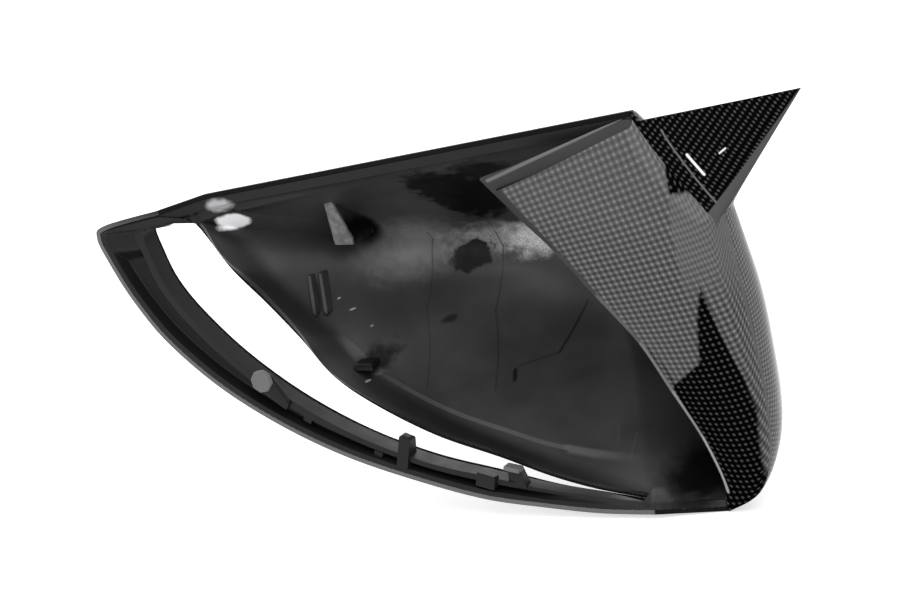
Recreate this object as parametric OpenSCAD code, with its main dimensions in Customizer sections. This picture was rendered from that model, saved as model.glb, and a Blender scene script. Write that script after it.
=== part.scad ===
// Wing mirror cover with a horn at its outer upper corner.
// Frame: the mouth that goes over the mirror housing is the plane y = 0 and faces -Y,
// the nose points along +Y, +X runs from the car to the outer end and +Z is up.
// The origin is in the middle of the flat lip along the upper rear edge.

/* [Cover] */
// Length from the inner tip to the outer end, without the horn
cover_length = 235; // [225:1:245]
// Height from the upper outer corner to the lowest edge
cover_height = 136; // [130:1:142]
// Depth of the nose in front of the mouth plane
nose_depth = 62; // [56:1:68]

/* [Walls] */
// Thickness of the carbon skin
skin_t = 1.5; // [1.2:0.1:1.8]
// Thickness of the glue between skin and base
glue_t = 0.15; // [0.1:0.05:0.3]
// Wall of the moulded base
base_t = 2.2; // [1.8:0.1:2.6]
// Least depth of the cover just inside its edge
rim_h = 2.8; // [2.4:0.1:3.2]
// Width of the thick lip behind the upper edge
lip_w = 3.2; // [2.4:0.1:4]
// Depth of that lip
lip_h = 4; // [3:0.5:5]
// How far the lip's rear face steps forwards beside the flank
lip_relief = 0.5; // [0.3:0.1:0.8]
// Step of the ledge along the upper edge of the lamp slot
ledge_h = 0.9; // [0.6:0.1:1.2]

/* [Lamp strip] */
// Depth of the strip under the lamp slot, front to back
strip_h = 8; // [7:0.5:9]
// Depth of the channel in the back of the strip
channel_h = 5; // [4:0.5:5.5]
// Wall between the channel and the outer edge
outer_wall = 1.8; // [1.4:0.1:2.2]
// Wall between the channel and the slot
inner_wall = 3; // [2.4:0.1:3.4]

/* [Flank] */
// Bare land of the base along the flank's upper edge
land_w = 5; // [4:0.5:5.5]
// How far the base stands past the skin at the free edge
base_proud = 1.8; // [1:0.2:2.4]
// Rearward bulge of the flank
flank_bulge = 15; // [12:1:18]
// Softness of the fold down the flank, where 1 is round
flank_fold = 0.7; // [0.6:0.05:0.9]
// Length of the horn past the corner of the cover
horn_reach = 57; // [48:1:62]
// Rise of the horn's tip over the corner of the cover
horn_rise = 5; // [2:1:9]

/* [Clips] */
// Width of the large clip's head
clip_w = 8.5; // [7:0.5:9]
// How far that head stands behind the strip
clip_reach = 4; // [3:0.5:5]
// Thickness of the posts
post_t = 3.2; // [2.6:0.2:3.6]
// Height of the posts
post_h = 11; // [9:0.5:12]
// Thickness of the ribs in the bowl
rib_t = 1.4; // [1.2:0.1:1.8]
// Width of the tab's foot under the rail
tab_w = 7; // [6:0.5:8]
// Width of the small hook by the ledge
hook_w = 6.4; // [5.5:0.1:7]
// Places of the clips along the strip, from its outer end
large_clip_at = 0.5; // [0.47:0.01:0.53]
square_post_at = 0.333; // [0.31:0.01:0.36]
snap_hook_at = 0.205; // [0.19:0.01:0.22]
raised_block_at = 0.238; // [0.23:0.01:0.25]

/* [Hidden] */

// Number of bowl rings, of flank stations and of rays in each stretch of the outline
rings = 11;
flank_stations = 7;
rail_rays = 2;
top_rays = 14;
horn_rays = 7;
outer_rays = 14;
foot_rays = 3;
slot_rays = 39;

skin_in = skin_t;
base_out = skin_t + glue_t;
base_in = base_out + base_t;

// Places are hundredths of the cover's length, depth and height
function at(p) = [p.x * cover_length, p.y * nose_depth, p.z * cover_height] / 100;
function mix(a, b, t) = a + (b - a) * t;
function clamp(t) = min(max(t, 0), 1);
function ease(t) = let (c = clamp(t)) c * c * (3 - 2 * c);
function unit(v) = v / max(norm(v), 0.000001);
function flat(v) = [v.x, 0, v.z];

// Smooth curve through points or numbers, t from 0 to 1
function spline(pts, t) =
    let (n = len(pts) - 1, s = clamp(t) * n, i = min(floor(s), n - 1), f = s - i,
         a = pts[max(i - 1, 0)], b = pts[i], c = pts[i + 1], d = pts[min(i + 2, n)])
    0.5 * (2 * b + (c - a) * f + (2 * a - 5 * b + 4 * c - d) * f * f
           + (3 * b - a - 3 * c + d) * f * f * f);

// Nose of the bowl, upper outer corner, horn foot and lowest outer corner
nose = at([47.7, 0, -29.4]);
corner = at([71.5, 0, 20.7]);
horn_foot = at([83.4, -4, -3]);
horn_tip = corner + [horn_reach, 2, horn_rise];
heel = at([74.2, 20, -79.2]);
rail_end = at([2.6, 0, 3]);
rail_start = at([-4.4, -7, 0.1]);
slot_end_low = at([64.9, 5, -77.9]);
// Place of the frame's origin on the lip, as a share of the straight upper edge
seat_share = 0.45;
upper_run = unit(corner - rail_end);
seat = mix(rail_end, corner, seat_share) + [upper_run.z, 0, -upper_run.x] * (base_out + lip_w / 2);

// Silhouette of the outer end, from the horn's foot to the heel
outer_edge = [horn_foot, at([84.1, -2, -20]), at([84.4, 2, -36]), at([84, 7, -51]),
              at([82.6, 12, -64]), at([79.4, 17, -74]), heel];
// Lower edge of the cover, from under the slot's outer end to the inner tip
low_edge = [slot_end_low, at([57, 3, -77.6]), at([49, 0, -76]), at([40.3, -5, -73.3]),
            at([30.4, -10, -68]), at([20.7, -15, -61.4]), at([11.7, -19, -53.1]),
            at([3.4, -23, -42.7]), at([-4, -23, -31.2]), at([-8.6, -22, -20.8]),
            at([-11.7, -21, -11]), at([-13.3, -19, -4.9]), at([-11.7, -18.5, -1.9]), rail_start];
// Share of the way from the nose at which the slot's two corners lie
inner_share = 0.915;
outer_share = 0.935;

// Fullness of the bowl: below 1 is a bluff wall, above 1 a gentle slope
rail_fullness = [1.5, 1.45];
top_fullness = [1.45, 1.2, 1.05, 0.95, 0.8];
horn_fullness = [0.8, 0.62];
outer_fullness = [0.62, 0.5, 0.5, 0.5, 0.6, 0.85];
foot_fullness = [0.85, 1.4];
slot_fullness = [1.4, 1.4, 1.45, 1.5, 1.5];

cross_walls_at = [0.445, 0.362];
// Share of the flank's end at the heel over which its wall turns
heel_turn = 0.45;

RAIL = 0;
TOP = 1;
HORN = 2;
OUTER = 3;
FOOT = 4;
SLOT = 5;
counts = [rail_rays, top_rays, horn_rays, outer_rays, foot_rays, slot_rays];
outlines = [[rail_start, rail_end], [rail_end, corner], [corner, horn_foot], outer_edge,
            [heel, slot_end_low], low_edge];
fullness = [rail_fullness, top_fullness, horn_fullness, outer_fullness, foot_fullness, slot_fullness];
ray_list = [for (z = [0 : 5]) for (i = [0 : counts[z] - 1]) [z, i / counts[z]]];
ray_count = len(ray_list);
first_horn = rail_rays + top_rays;
first_outer = first_horn + horn_rays;
first_foot = first_outer + outer_rays;
first_slot = first_foot + foot_rays;

function in_slot(k) = k > first_slot;
function in_flank(k) = k >= first_horn && k <= first_foot;
function share(z, t) =
    z == SLOT ? outer_share
    : z == FOOT ? mix(0.93, outer_share, t)
    : z == RAIL ? mix(inner_share, 0.915, t) : mix(0.915, 0.93, z == TOP ? t : 1);
function bowl_y(s, m) = nose_depth * pow(max(1 - s * s, 0), m);
function toward_nose(g, s) = nose + (flat(g) - flat(nose)) * s;
function on_bowl(g, s, m) =
    let (p = toward_nose(g, s)) [p.x, g.y * s * s + bowl_y(s, m), p.z];

slot_low = on_bowl(slot_end_low, outer_share, 1.4);
slot_high = on_bowl(rail_start, inner_share, 1.5);
// Upper edge of the slot, then its lower edge, both from the outer end to the inner one
slot_upper = [slot_low, at([57, 5, -71.9]), at([50.4, 2, -68.3]), at([43.3, 0, -63.5]),
              at([34, -3, -57.6]), at([25.1, -4, -49.8]), at([19.2, -4, -42.6]),
              at([15.1, -4, -33.4]), at([10.3, -3, -24.4]), at([5.5, -2, -16.1]),
              at([2.6, -1, -9.2]), at([1.1, 0, -6]), at([0.3, 0, -4.2]), slot_high];
slot_lower = [slot_low, at([57.1, 12, -73.7]), at([50, 12, -72]), at([42.1, 8, -68]),
              at([32.6, 4, -63.5]), at([23.3, 0, -56.8]), at([14.8, -5, -47.5]),
              at([7.2, -8, -36.8]), at([1.1, -8, -26.4]), at([-2.8, -7, -17.8]),
              at([-5.1, -4, -10.1]), at([-6.2, -1, -4.4]), at([-3.2, -1, -3.4]), slot_high];
// Share of the way from the nose to the lower edge that the bowl's rings aim at
slot_aim = [outer_share, 0.92, 0.9, 0.87, 0.82, 0.79, 0.79, 0.8, 0.82, 0.86, inner_share];

// Place of ring j between the nose and the bowl's edge; two rings lie close at the ledge
ledge_place = 0.88;
ledge_gap = 0.012;
ring_turn = 75;
function ring_place(j) =
    j > rings - 2 ? (j == rings ? 1 : ledge_place)
    : (ledge_place - ledge_gap) * sin(ring_turn * j / (rings - 2)) / sin(ring_turn);
// Height of the strip at share t of the slot, tapering into the bowl at both ends
function strip_depth(t) = mix(base_in, strip_h, ease(min(t / 0.3, (1 - t) / 0.12)));

// Free edge of the flank, from its upper corner to its lower tip
free_edge = [at([52.5, -33.5, 9.3]), at([55.9, -24.5, -1.6]), at([58.7, -17, -10.1]),
             at([62.3, -8, -21.8]), at([66.5, 1, -34.6]), at([69.2, 9, -47.7]),
             at([71.6, 17, -59.9]), at([73.6, 24, -73.8])];
bulge_share = [0, 0.75, 1, 1, 0.95, 0.8, 0.5, 0.15];

function raised(p, y) = [p.x, max(p.y, y), p.z];

// One ray of the outer surface: the bowl, the strip or rim, and on the flank its stations
function ray_points(k) =
    let (r = ray_list[k], z = r[0], t = r[1], g = spline(outlines[z], t), m = spline(fullness[z], t),
         slot = in_slot(k),
         e1 = slot ? spline(slot_upper, t) : on_bowl(g, share(z, t), m),
         fade = slot ? mix(mix(outer_share, 1, ease(t / 0.2)), inner_share, ease((t - 0.8) / 0.2)) : share(z, t),
         lift = e1.y - bowl_y(fade, m),
         aim = slot ? toward_nose(g, spline(slot_aim, t)) : e1,
         bowl = [for (j = [1 : rings]) let (u = ring_place(j), p = toward_nose(mix(aim, e1, pow(u, 4)), u))
                 [p.x, bowl_y(fade * u, m) + lift * u * u, p.z]],
         h = strip_depth(t),
         e2 = slot ? spline(slot_lower, t) : e1,
         in_dir = unit(flat(e2 - g)),
         f = slot ? g + in_dir * 2 + [0, h, 0] : raised(on_bowl(g, 0.99, m), g.y + rim_h),
         mid = slot ? (e2 + f) / 2 : raised(on_bowl(g, (share(z, t) + 1) / 2, m), g.y + 1.25 * rim_h))
    concat(bowl, [e2, mid, f, g]);

function flank_share(k) = (k - first_horn) / (first_foot - first_horn);
function flank_points(k) =
    let (t = flank_share(k), g = outer_grid[k][rings + 3], q = spline(free_edge, t),
         b = flank_bulge * spline(bulge_share, t))
    [for (i = [1 : flank_stations]) let (a = 90 * i / flank_stations,
         w = 1 - pow(cos(a), flank_fold), v = pow(sin(a), flank_fold))
     mix(g, q, w) - [0, b * (v - w), 0]];

outer_grid = [for (k = [0 : ray_count - 1]) ray_points(k)];
flank_grid = [for (k = [0 : ray_count - 1]) in_flank(k) ? flank_points(k) : []];

// Outward normals, from neighbouring points of the grid
last = rings + 3;
function wrap(k) = (k + ray_count) % ray_count;
function point(k, j) = j < 0 ? nose + [0, nose_depth, 0]
    : j <= last ? outer_grid[wrap(k)][j] : flank_grid[wrap(k)][min(j - last, flank_stations) - 1];
function has(k, j) = j <= last || in_flank(wrap(k));
function normal(k, j) =
    let (ka = has(k - 1, j) ? k - 1 : k, kb = has(k + 1, j) ? k + 1 : k,
         open_slot = in_slot(wrap(k)),
         ja = j == rings && open_slot ? j : j - 1,
         jb = j == rings - 1 && open_slot ? j : j == last && !in_flank(k) ? j
              : j == last + flank_stations ? j : j + 1,
         c = cross(point(k, jb) - point(k, ja), point(kb, j) - point(ka, j)))
    unit(c);

// Direction into the cover across its edge, in the plane y = const
function edge_inward(k) =
    let (run = flat(point(k + 1, last) - point(k - 1, last))) unit([run.z, 0, -run.x]);
// A grid point moved inwards by d, kept in its own plane y = const along the cover's edge
function inset(k, j, d) =
    j == last && !in_flank(k) ? point(k, j) + edge_inward(k) * d : point(k, j) - normal(k, j) * d;
// Near the flank's two ends its wall turns into the wall of the bowl
function flank_inset(k, i, d) =
    let (t = flank_share(k), a = inset(k, last, d) - point(k, last), p = point(k, last + i),
         b = inset(k, last + i, d) - p, reach = i / flank_stations,
         w = k == first_horn ? ease(reach / 0.6) : k == first_foot ? ease(reach / heel_turn) : 1)
    p + mix(a, b, w);

// The skin's flank starts below the bare land and stops short of the free edge
function skin_flank(k, i, d) =
    let (p = flank_inset(k, i, d),
         down = k == first_horn ? unit(flank_inset(k + 1, i, d) - p) * land_w * ease(i / 2) : [0, 0, 0],
         back = i == flank_stations ? unit(flank_inset(k, i - 1, d) - p) * base_proud : [0, 0, 0])
    p + down + back;

// Pull of the horn on the stations around it, from the bowl's last rings to its edge
horn_pull = [0.04, 0.1, 0.2, 0.36, 0.62, 1];
horn_root = first_horn + 1;
horn_peak = horn_root + 3;
function on_horn(k) = k > horn_root && k < first_outer;
function horn_line(k) =
    k <= horn_peak ? mix(point(horn_root, last), horn_tip, (k - horn_root) / (horn_peak - horn_root))
    : mix(horn_tip, horn_foot, (k - horn_peak) / (first_outer - horn_peak));
function horned(k, j) =
    let (p = point(k, j), i = j - (last - len(horn_pull) + 1))
    on_horn(k) && i >= 0 && j <= last ? p + (horn_line(k) - point(k, last)) * horn_pull[i] : p;

// Back of the base: five stations from the edge inwards, as lip, channel or plain wall
function back_points(k) =
    let (r = ray_list[k], z = r[0], t = r[1], e = inset(k, rings, base_in), g = inset(k, last, base_out),
         m = inset(k, rings + 1, base_in), f = inset(k, rings + 2, base_in))
    in_slot(k)
    ? let (e2 = point(k, rings), h = strip_depth(t), inward = unit(flat(e2 - g)), w = norm(flat(e2 - g)),
           c = channel_h * ease(min((t - 0.12) / 0.1, (0.8 - t) / 0.05)),
           rim = g + inward * min(outer_wall, w * 0.3), wall = e2 - [0, h, 0],
           inner = wall - inward * min(inner_wall, w * 0.35))
      [rim, rim + [0, c, 0] + inward * 0.3, inner + [0, c, 0] - inward * 0.3, inner, wall]
    : in_flank(k) || z == FOOT || z == SLOT
    ? [inset(k, last, base_in), f, m, (m + e) / 2, e]
    : let (relief = k >= first_horn - 2 ? lip_relief : 0,
           lip = inset(k, last, base_out + lip_w) + [0, relief, 0],
           root = lip + [0, max(0.1, min(lip_h, (e.y - lip.y) / 2)), 0])
      [lip, root, mix(root, e, 0.33), mix(root, e, 0.67), e];

// Closed solid of two matching surfaces. front and back hold, for each ray, the rows
// bowl, strip and flank; a row of the strip starts with the slot's far edge.
function quad(a, b, c, d) = [[a, b, c], [a, c, d]];
function whole(list) = [for (f = list) if (f[0] != f[1] && f[1] != f[2] && f[2] != f[0]) f];

function ring_faces(idx, turn) =
    [for (k = [0 : ray_count - 1]) for (i = [0 : len(idx[k]) - 2]) for (f = quad(idx[k][i], idx[wrap(k + 1)][i],
        idx[wrap(k + 1)][i + 1], idx[k][i + 1])) turn ? [f[2], f[1], f[0]] : f];
function wall_faces(a, b, pick) =
    [for (k = [0 : ray_count - 1]) if (pick[k]) for (f = quad(a[k], a[wrap(k + 1)], b[wrap(k + 1)], b[k])) f];
function pole_faces(pole, row, turn) =
    [for (k = [0 : ray_count - 1]) turn ? [row[wrap(k + 1)], row[k], pole] : [pole, row[k], row[wrap(k + 1)]]];

// Builds the solid. bowl_f, strip_f, flank_f are the front's rows, the others the back's.
module sheet(bowl_f, strip_f, flank_f, bowl_b, strip_b, flank_b, nose_f, nose_b) {
    nb = rings;
    ns = len(strip_f[0]);
    nt = len(strip_b[0]);
    nf = flank_stations;
    n = ray_count;
    slot_pair = [for (k = [0 : n - 1]) in_slot(k) || in_slot(wrap(k + 1))];
    flank_pair = [for (k = [0 : n - 1]) in_flank(k) && in_flank(wrap(k + 1))];
    f0 = 0;
    f1 = n * nb;
    f2 = f1 + n * ns;
    b0 = f2 + n * nf;
    b1 = b0 + n * nb;
    b2 = b1 + n * nt;
    tail = b2 + n * nf;
    bowl_fi = [for (k = [0 : n - 1]) [for (j = [0 : nb - 1]) f0 + k * nb + j]];
    bowl_bi = [for (k = [0 : n - 1]) [for (j = [0 : nb - 1]) b0 + k * nb + j]];
    strip_fi = [for (k = [0 : n - 1]) [for (j = [0 : ns - 1])
                j == 0 && !in_slot(k) ? bowl_fi[k][nb - 1] : f1 + k * ns + j]];
    strip_bi = [for (k = [0 : n - 1]) [for (j = [0 : nt - 1])
                j == 0 && !in_slot(k) ? bowl_bi[k][nb - 1] : b1 + k * nt + j]];
    flank_fi = [for (k = [0 : n - 1]) [for (j = [0 : nf]) j == 0 ? strip_fi[k][ns - 1] : f2 + k * nf + j - 1]];
    flank_bi = [for (k = [0 : n - 1]) [for (j = [0 : nf]) j == 0 ? strip_bi[k][nt - 1] : b2 + k * nf + j - 1]];
    flank_cells = [for (k = [0 : n - 1]) if (flank_pair[k]) k];
    pts = concat(
        [for (row = bowl_f) for (p = row) p], [for (row = strip_f) for (p = row) p],
        [for (k = [0 : n - 1]) for (j = [0 : nf - 1]) in_flank(k) ? flank_f[k][j] : nose],
        [for (row = bowl_b) for (p = row) p], [for (row = strip_b) for (p = row) p],
        [for (k = [0 : n - 1]) for (j = [0 : nf - 1]) in_flank(k) ? flank_b[k][j] : nose],
        [nose_f, nose_b]);
    column = function (idx, j) [for (k = [0 : n - 1]) idx[k][j]];
    faces = concat(
        pole_faces(tail, column(bowl_fi, 0), false), pole_faces(tail + 1, column(bowl_bi, 0), true),
        ring_faces([for (r = bowl_fi) [for (j = [nb - 1 : -1 : 0]) r[j]]], false),
        ring_faces([for (r = bowl_bi) [for (j = [nb - 1 : -1 : 0]) r[j]]], true),
        ring_faces([for (r = strip_fi) [for (j = [ns - 1 : -1 : 0]) r[j]]], false),
        ring_faces([for (r = strip_bi) [for (j = [nt - 1 : -1 : 0]) r[j]]], true),
        [for (k = flank_cells) for (j = [0 : nf - 1]) for (f = quad(flank_fi[k][j + 1], flank_fi[k + 1][j + 1],
            flank_fi[k + 1][j], flank_fi[k][j])) f],
        [for (k = flank_cells) for (j = [0 : nf - 1]) for (f = quad(flank_bi[k][j + 1], flank_bi[k][j],
            flank_bi[k + 1][j], flank_bi[k + 1][j + 1])) f],
        wall_faces(column(bowl_bi, nb - 1), column(bowl_fi, nb - 1), slot_pair),
        wall_faces(column(strip_fi, 0), column(strip_bi, 0), slot_pair),
        wall_faces(column(strip_bi, nt - 1), column(strip_fi, ns - 1), [for (p = flank_pair) !p]),
        wall_faces(column(flank_bi, nf), column(flank_fi, nf), flank_pair),
        [for (j = [0 : nf - 1]) for (f = quad(flank_fi[first_horn][j + 1], flank_fi[first_horn][j],
            flank_bi[first_horn][j], flank_bi[first_horn][j + 1])) f],
        [for (j = [0 : nf - 1]) for (f = quad(flank_fi[first_foot][j], flank_fi[first_foot][j + 1],
            flank_bi[first_foot][j + 1], flank_bi[first_foot][j])) f]);
    used = whole(faces);
    polyhedron(pts, [for (f = used) [f[0], f[2], f[1]]], convexity = 10);
}

all_rays = [for (k = [0 : ray_count - 1]) k];

// The base is thinner between the ledge and the slot, where the lamp's seal lies
function ledge_step(k, j) =
    j >= rings - 2 && in_slot(k) ? ledge_h * ease(min(ray_list[k][1] / 0.1, (1 - ray_list[k][1]) / 0.1)) : 0;
module base_sheet()
    sheet([for (k = all_rays) [for (j = [0 : rings - 1]) inset(k, j, base_out)]],
          [for (k = all_rays) [for (j = [rings : last]) inset(k, j, base_out)]],
          [for (k = all_rays) in_flank(k) ? [for (i = [1 : flank_stations]) flank_inset(k, i, base_out)] : []],
          [for (k = all_rays) [for (j = [0 : rings - 1]) inset(k, j, base_in - ledge_step(k, j))]],
          [for (k = all_rays) let (b = back_points(k)) [for (i = [4 : -1 : 0]) b[i]]],
          [for (k = all_rays) in_flank(k) ? [for (i = [1 : flank_stations]) flank_inset(k, i, base_in)] : []],
          nose + [0, nose_depth - base_out, 0], nose + [0, nose_depth - base_in, 0]);

// Axes on the back of the strip at share t: X along it, Y forwards, Z towards the slot
module on_strip(t) {
    edge = spline(slot_lower, t);
    rear = edge - [0, strip_depth(t), 0];
    run = unit(flat(spline(low_edge, t - 0.03) - spline(low_edge, t + 0.03)));
    multmatrix([[run.x, 0, -run.z, rear.x], [0, 1, 0, rear.y], [run.z, 0, run.x, rear.z], [0, 0, 0, 1]])
        children();
}
// Large clip: an eight-sided head behind the slot, on a body that runs down the strip
module large_clip()
    on_strip(large_clip_at) hull() {
        translate([-1, -clip_reach, 1.8]) rotate([-90, 22.5, 0])
            cylinder(d = clip_w, h = post_t, $fn = 8);
        translate([1, -0.8, -3.6]) cube([9, 2.4, 2.6]);
    }
// Square post with a bevelled cap
module square_post()
    on_strip(square_post_at) hull() {
        translate([-post_t / 2, -1, -4.5]) cube([post_t + 0.8, channel_h + 1.8, 1]);
        translate([-post_t / 2 - 1.4, 0.2, post_h - 6.2]) cube([post_t + 0.8, 4, 0.8]);
        translate([-post_t / 2 - 0.6, 1, post_h - 5]) cube([post_t - 0.8, 2.4, 0.1]);
    }
// Snap hook: its flat top overhangs a body that widens towards the strip
module snap_hook()
    on_strip(snap_hook_at) {
        hull() {
            translate([-2, 0.4, -1.5]) cube([6.4, 3.4, 1]);
            translate([-2, -0.6, post_h - 6.8]) cube([4.2, 3, 1]);
        }
        translate([-2.7, -2.6, post_h - 6.4]) cube([5.6, 3.8, 1.6]);
    }
// Walls across the channel on both sides of the square post
module cross_walls()
    for (t = cross_walls_at)
        on_strip(t) translate([-1.6, 0.4, -inner_wall - 1.6]) cube([3.2, channel_h, 2.2]);
module raised_block()
    on_strip(raised_block_at) translate([-3.4, -1.4, -3.6]) cube([6.8, 3.4, 4.6]);

// Tapered tab under the rail, two ribs below it and a small hook by the ledge
module tab() {
    top = inset(4, rings - 2, base_in);
    foot = inset(0, 4, base_in);
    hull() {
        translate(top + [3.7, -1.2, 1.3]) cube([tab_w - 4, 2.6, 1.4]);
        translate(foot + [-2.8, -16.4, 1.5]) cube([tab_w, 13.8, 2.3]);
    }
}
module ribs()
    for (x = [0, 2.9])
        hull() {
            translate(inset(67, 6, base_in) + [x - 3.4, 0.8 * x - 4, 0]) cube([rib_t, 4, 1]);
            translate(inset(63, 8, base_in) + [x - 0.6, 0.8 * x - 2.2, -1]) cube([rib_t, 3.4, 1]);
        }
module small_hook()
    translate(inset(58, 8, base_in)) {
        translate([-hook_w / 2, -4.8, 0]) cube([hook_w, 5.8, rib_t + 0.2]);
        translate([-hook_w / 2, -4.8, -1.2]) cube([hook_w, rib_t, 2]);
    }

module base_shell()
    color("#2b2c2e") translate(-seat) {
        base_sheet();
        large_clip();
        square_post();
        snap_hook();
        raised_block();
        cross_walls();
        tab();
        ribs();
        small_hook();
    }

module carbon_skin()
    color("#4a4c50") translate(-seat)
    sheet([for (k = all_rays) [for (j = [0 : rings - 1]) horned(k, j)]],
          [for (k = all_rays) [for (j = [rings : last]) horned(k, j)]],
          [for (k = all_rays) in_flank(k) ? [for (i = [1 : flank_stations]) skin_flank(k, i, 0)] : []],
          [for (k = all_rays) [for (j = [0 : rings - 1]) inset(k, j, skin_in)]],
          [for (k = all_rays) [for (j = [rings : last]) inset(k, j, skin_in)]],
          [for (k = all_rays) in_flank(k) ? [for (i = [1 : flank_stations]) skin_flank(k, i, skin_in)] : []],
          nose + [0, nose_depth, 0], nose + [0, nose_depth - skin_in, 0]);

base_shell();
carbon_skin();
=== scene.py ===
"""Wing mirror cover seen from behind: a moulded base with clips under a glossy carbon weave skin."""
from __future__ import annotations

import logging
import math
from dataclasses import dataclass, field
from enum import IntEnum
from typing import Any, Sequence

import bpy
import bmesh
import numpy as np
from mathutils import Matrix, Vector

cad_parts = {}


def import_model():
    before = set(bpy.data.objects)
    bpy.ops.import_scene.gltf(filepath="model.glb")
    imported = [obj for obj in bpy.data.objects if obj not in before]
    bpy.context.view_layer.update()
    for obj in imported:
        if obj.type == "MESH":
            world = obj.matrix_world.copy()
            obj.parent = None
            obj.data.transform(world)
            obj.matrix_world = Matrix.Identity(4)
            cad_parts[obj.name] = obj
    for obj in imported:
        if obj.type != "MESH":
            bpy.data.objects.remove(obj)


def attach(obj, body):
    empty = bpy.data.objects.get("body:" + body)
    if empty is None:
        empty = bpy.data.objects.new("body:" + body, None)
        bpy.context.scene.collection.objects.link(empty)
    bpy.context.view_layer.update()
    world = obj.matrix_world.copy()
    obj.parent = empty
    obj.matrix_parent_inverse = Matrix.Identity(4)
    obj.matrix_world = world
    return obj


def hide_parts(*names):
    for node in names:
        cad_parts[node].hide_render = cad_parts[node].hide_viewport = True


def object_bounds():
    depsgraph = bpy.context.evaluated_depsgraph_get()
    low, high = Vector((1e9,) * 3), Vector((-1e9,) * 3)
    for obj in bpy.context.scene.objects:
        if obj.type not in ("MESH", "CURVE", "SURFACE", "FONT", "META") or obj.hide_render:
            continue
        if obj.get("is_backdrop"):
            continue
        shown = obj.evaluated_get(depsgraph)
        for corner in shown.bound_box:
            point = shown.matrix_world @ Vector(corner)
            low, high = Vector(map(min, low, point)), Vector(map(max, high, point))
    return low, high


log = logging.getLogger("mirror_cover")
MM = 0.001
TINY = 1e-9
Array = np.ndarray

# Corners of the cover, in hundredths of its length, depth and height
RAIL_START = (-4.4, -7, 0.1)
STRAIGHT_START = (2.6, 0, 3)
UPPER_CORNER = (71.5, 0, 20.7)
HORN_FOOT = (83.4, -4, -3)
HEEL = (74.2, 20, -79.2)
SLOT_END = (64.9, 5, -77.9)
FLANK_CORNER = (52.5, -33.5, 9.3)
FLANK_TIP = (73.6, 24, -73.8)

# Keeps a point's place in the mouth plane and drops its depth
IN_MOUTH = np.array([1.0, 0.0, 1.0])
# Places between the two ends of a short run that is cut in three
THIRDS = (0.33, 0.67)
# Sockets of a Mix node that blends colours
MIX_SHARE, MIX_FIRST, MIX_SECOND, MIX_RESULT = 0, 6, 7, 2
# Tone below which a spot counts as black and loses its coat
BLACK = 0.012
# Pieces given a paler tone
PALE_PIECES = ("snap_hook_head", "large_clip_head", "upper_tab")


class Zone(IntEnum):
    """Stretches of the cover's outline, in the order of its rays."""

    RAIL = 0
    TOP = 1
    HORN = 2
    OUTER = 3
    FOOT = 4
    SLOT = 5


class Patch(IntEnum):
    """Kinds of faces on a shell, written into its mesh for the finishes."""

    BOWL = 0
    FLANK = 1
    CUT_DARK = 2
    HORN = 3
    CUT_LIGHT = 4


def unit(vectors: Array) -> Array:
    """Gives each vector the length 1."""
    return vectors / np.maximum(np.linalg.norm(vectors, axis=-1, keepdims=True), TINY)


def mix(first: Any, second: Any, share: Any) -> Any:
    """The value that lies a share of the way from the first to the second."""
    return first + (second - first) * share


def ease(share: Array) -> Array:
    """Smooth step 3c^2 - 2c^3 of a share clipped to 0..1."""
    c = np.clip(share, 0.0, 1.0)
    return c * c * (3.0 - 2.0 * c)


def hump(share: Array, span: tuple[float, float], ends: tuple[float, float]) -> Array:
    """Smooth rise from 0 to 1 at a span's start and fall to 0 at its end, each over its run."""
    return ease(np.minimum((share - span[0]) / ends[0], (span[1] - share) / ends[1]))


def spline(knots: Sequence, share: Array) -> Array:
    """Smooth curve through knots, each span the cubic that meets its neighbours' slopes.

    Args:
        knots: Points or numbers, equally spaced in the share.
        share: Places along the curve, from 0 to 1.

    Returns:
        One point or number for each share.
    """
    pts = np.asarray(knots, float)
    flat = pts.ndim == 1
    pts = pts[:, None] if flat else pts
    spans = len(pts) - 1
    s = np.clip(share, 0.0, 1.0) * spans
    i = np.minimum(np.floor(s).astype(int), spans - 1)
    f = (s - i)[:, None]
    a, b = pts[np.maximum(i - 1, 0)], pts[i]
    c, d = pts[i + 1], pts[np.minimum(i + 2, spans)]
    square = (2 * a - 5 * b + 4 * c - d) * f ** 2
    cube = (3 * b - a - 3 * c + d) * f ** 3
    out = 0.5 * (2 * b + (c - a) * f + square + cube)
    return out[:, 0] if flat else out


def box(corner: Sequence[float], size: Sequence[float]) -> Array:
    """The eight corners of a box from its lowest corner and its size."""
    steps = np.array(np.meshgrid([0, 1], [0, 1], [0, 1])).T.reshape(-1, 3)
    return np.asarray(corner, float) + steps * np.asarray(size, float)


def rounded(paths: Array, radius: float, part: float = 0.4) -> Array:
    """Rounds each inner corner of many paths with a short curve of one pull point.

    The curve starts and ends at the radius from the corner, or at a part of the shorter side if that
    is less.

    Args:
        paths: Paths by points.
        radius: Radius in millimetres.
        part: Largest part of a side that a curve may take.

    Returns:
        Paths with four points for each inner corner.
    """
    before, here, after = paths[:, :-2], paths[:, 1:-1], paths[:, 2:]
    to_before, to_after = before - here, after - here
    shorter = np.minimum(np.linalg.norm(to_before, axis=-1), np.linalg.norm(to_after, axis=-1))
    reach = np.minimum(shorter * part, radius)[..., None]
    a, c = here + unit(to_before) * reach, here + unit(to_after) * reach
    arcs = [a * (1 - q) ** 2 + 2 * here * q * (1 - q) + c * q ** 2 for q in (0.0, *THIRDS, 1.0)]
    inner = np.stack(arcs, 2).reshape(len(paths), -1, 3)
    return np.concatenate([paths[:, :1], inner, paths[:, -1:]], 1)


def slopes(points: Array) -> Array:
    """Unit normals of a grid: the cross product of its two central differences."""
    return unit(np.cross(np.gradient(points, axis=1), np.gradient(points, axis=0)))


@dataclass(frozen=True)
class Stretch:
    """One zone of the outline: its rays, its edge knots and its fullness knots."""

    count: int
    edge: tuple
    fullness: tuple


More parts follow.
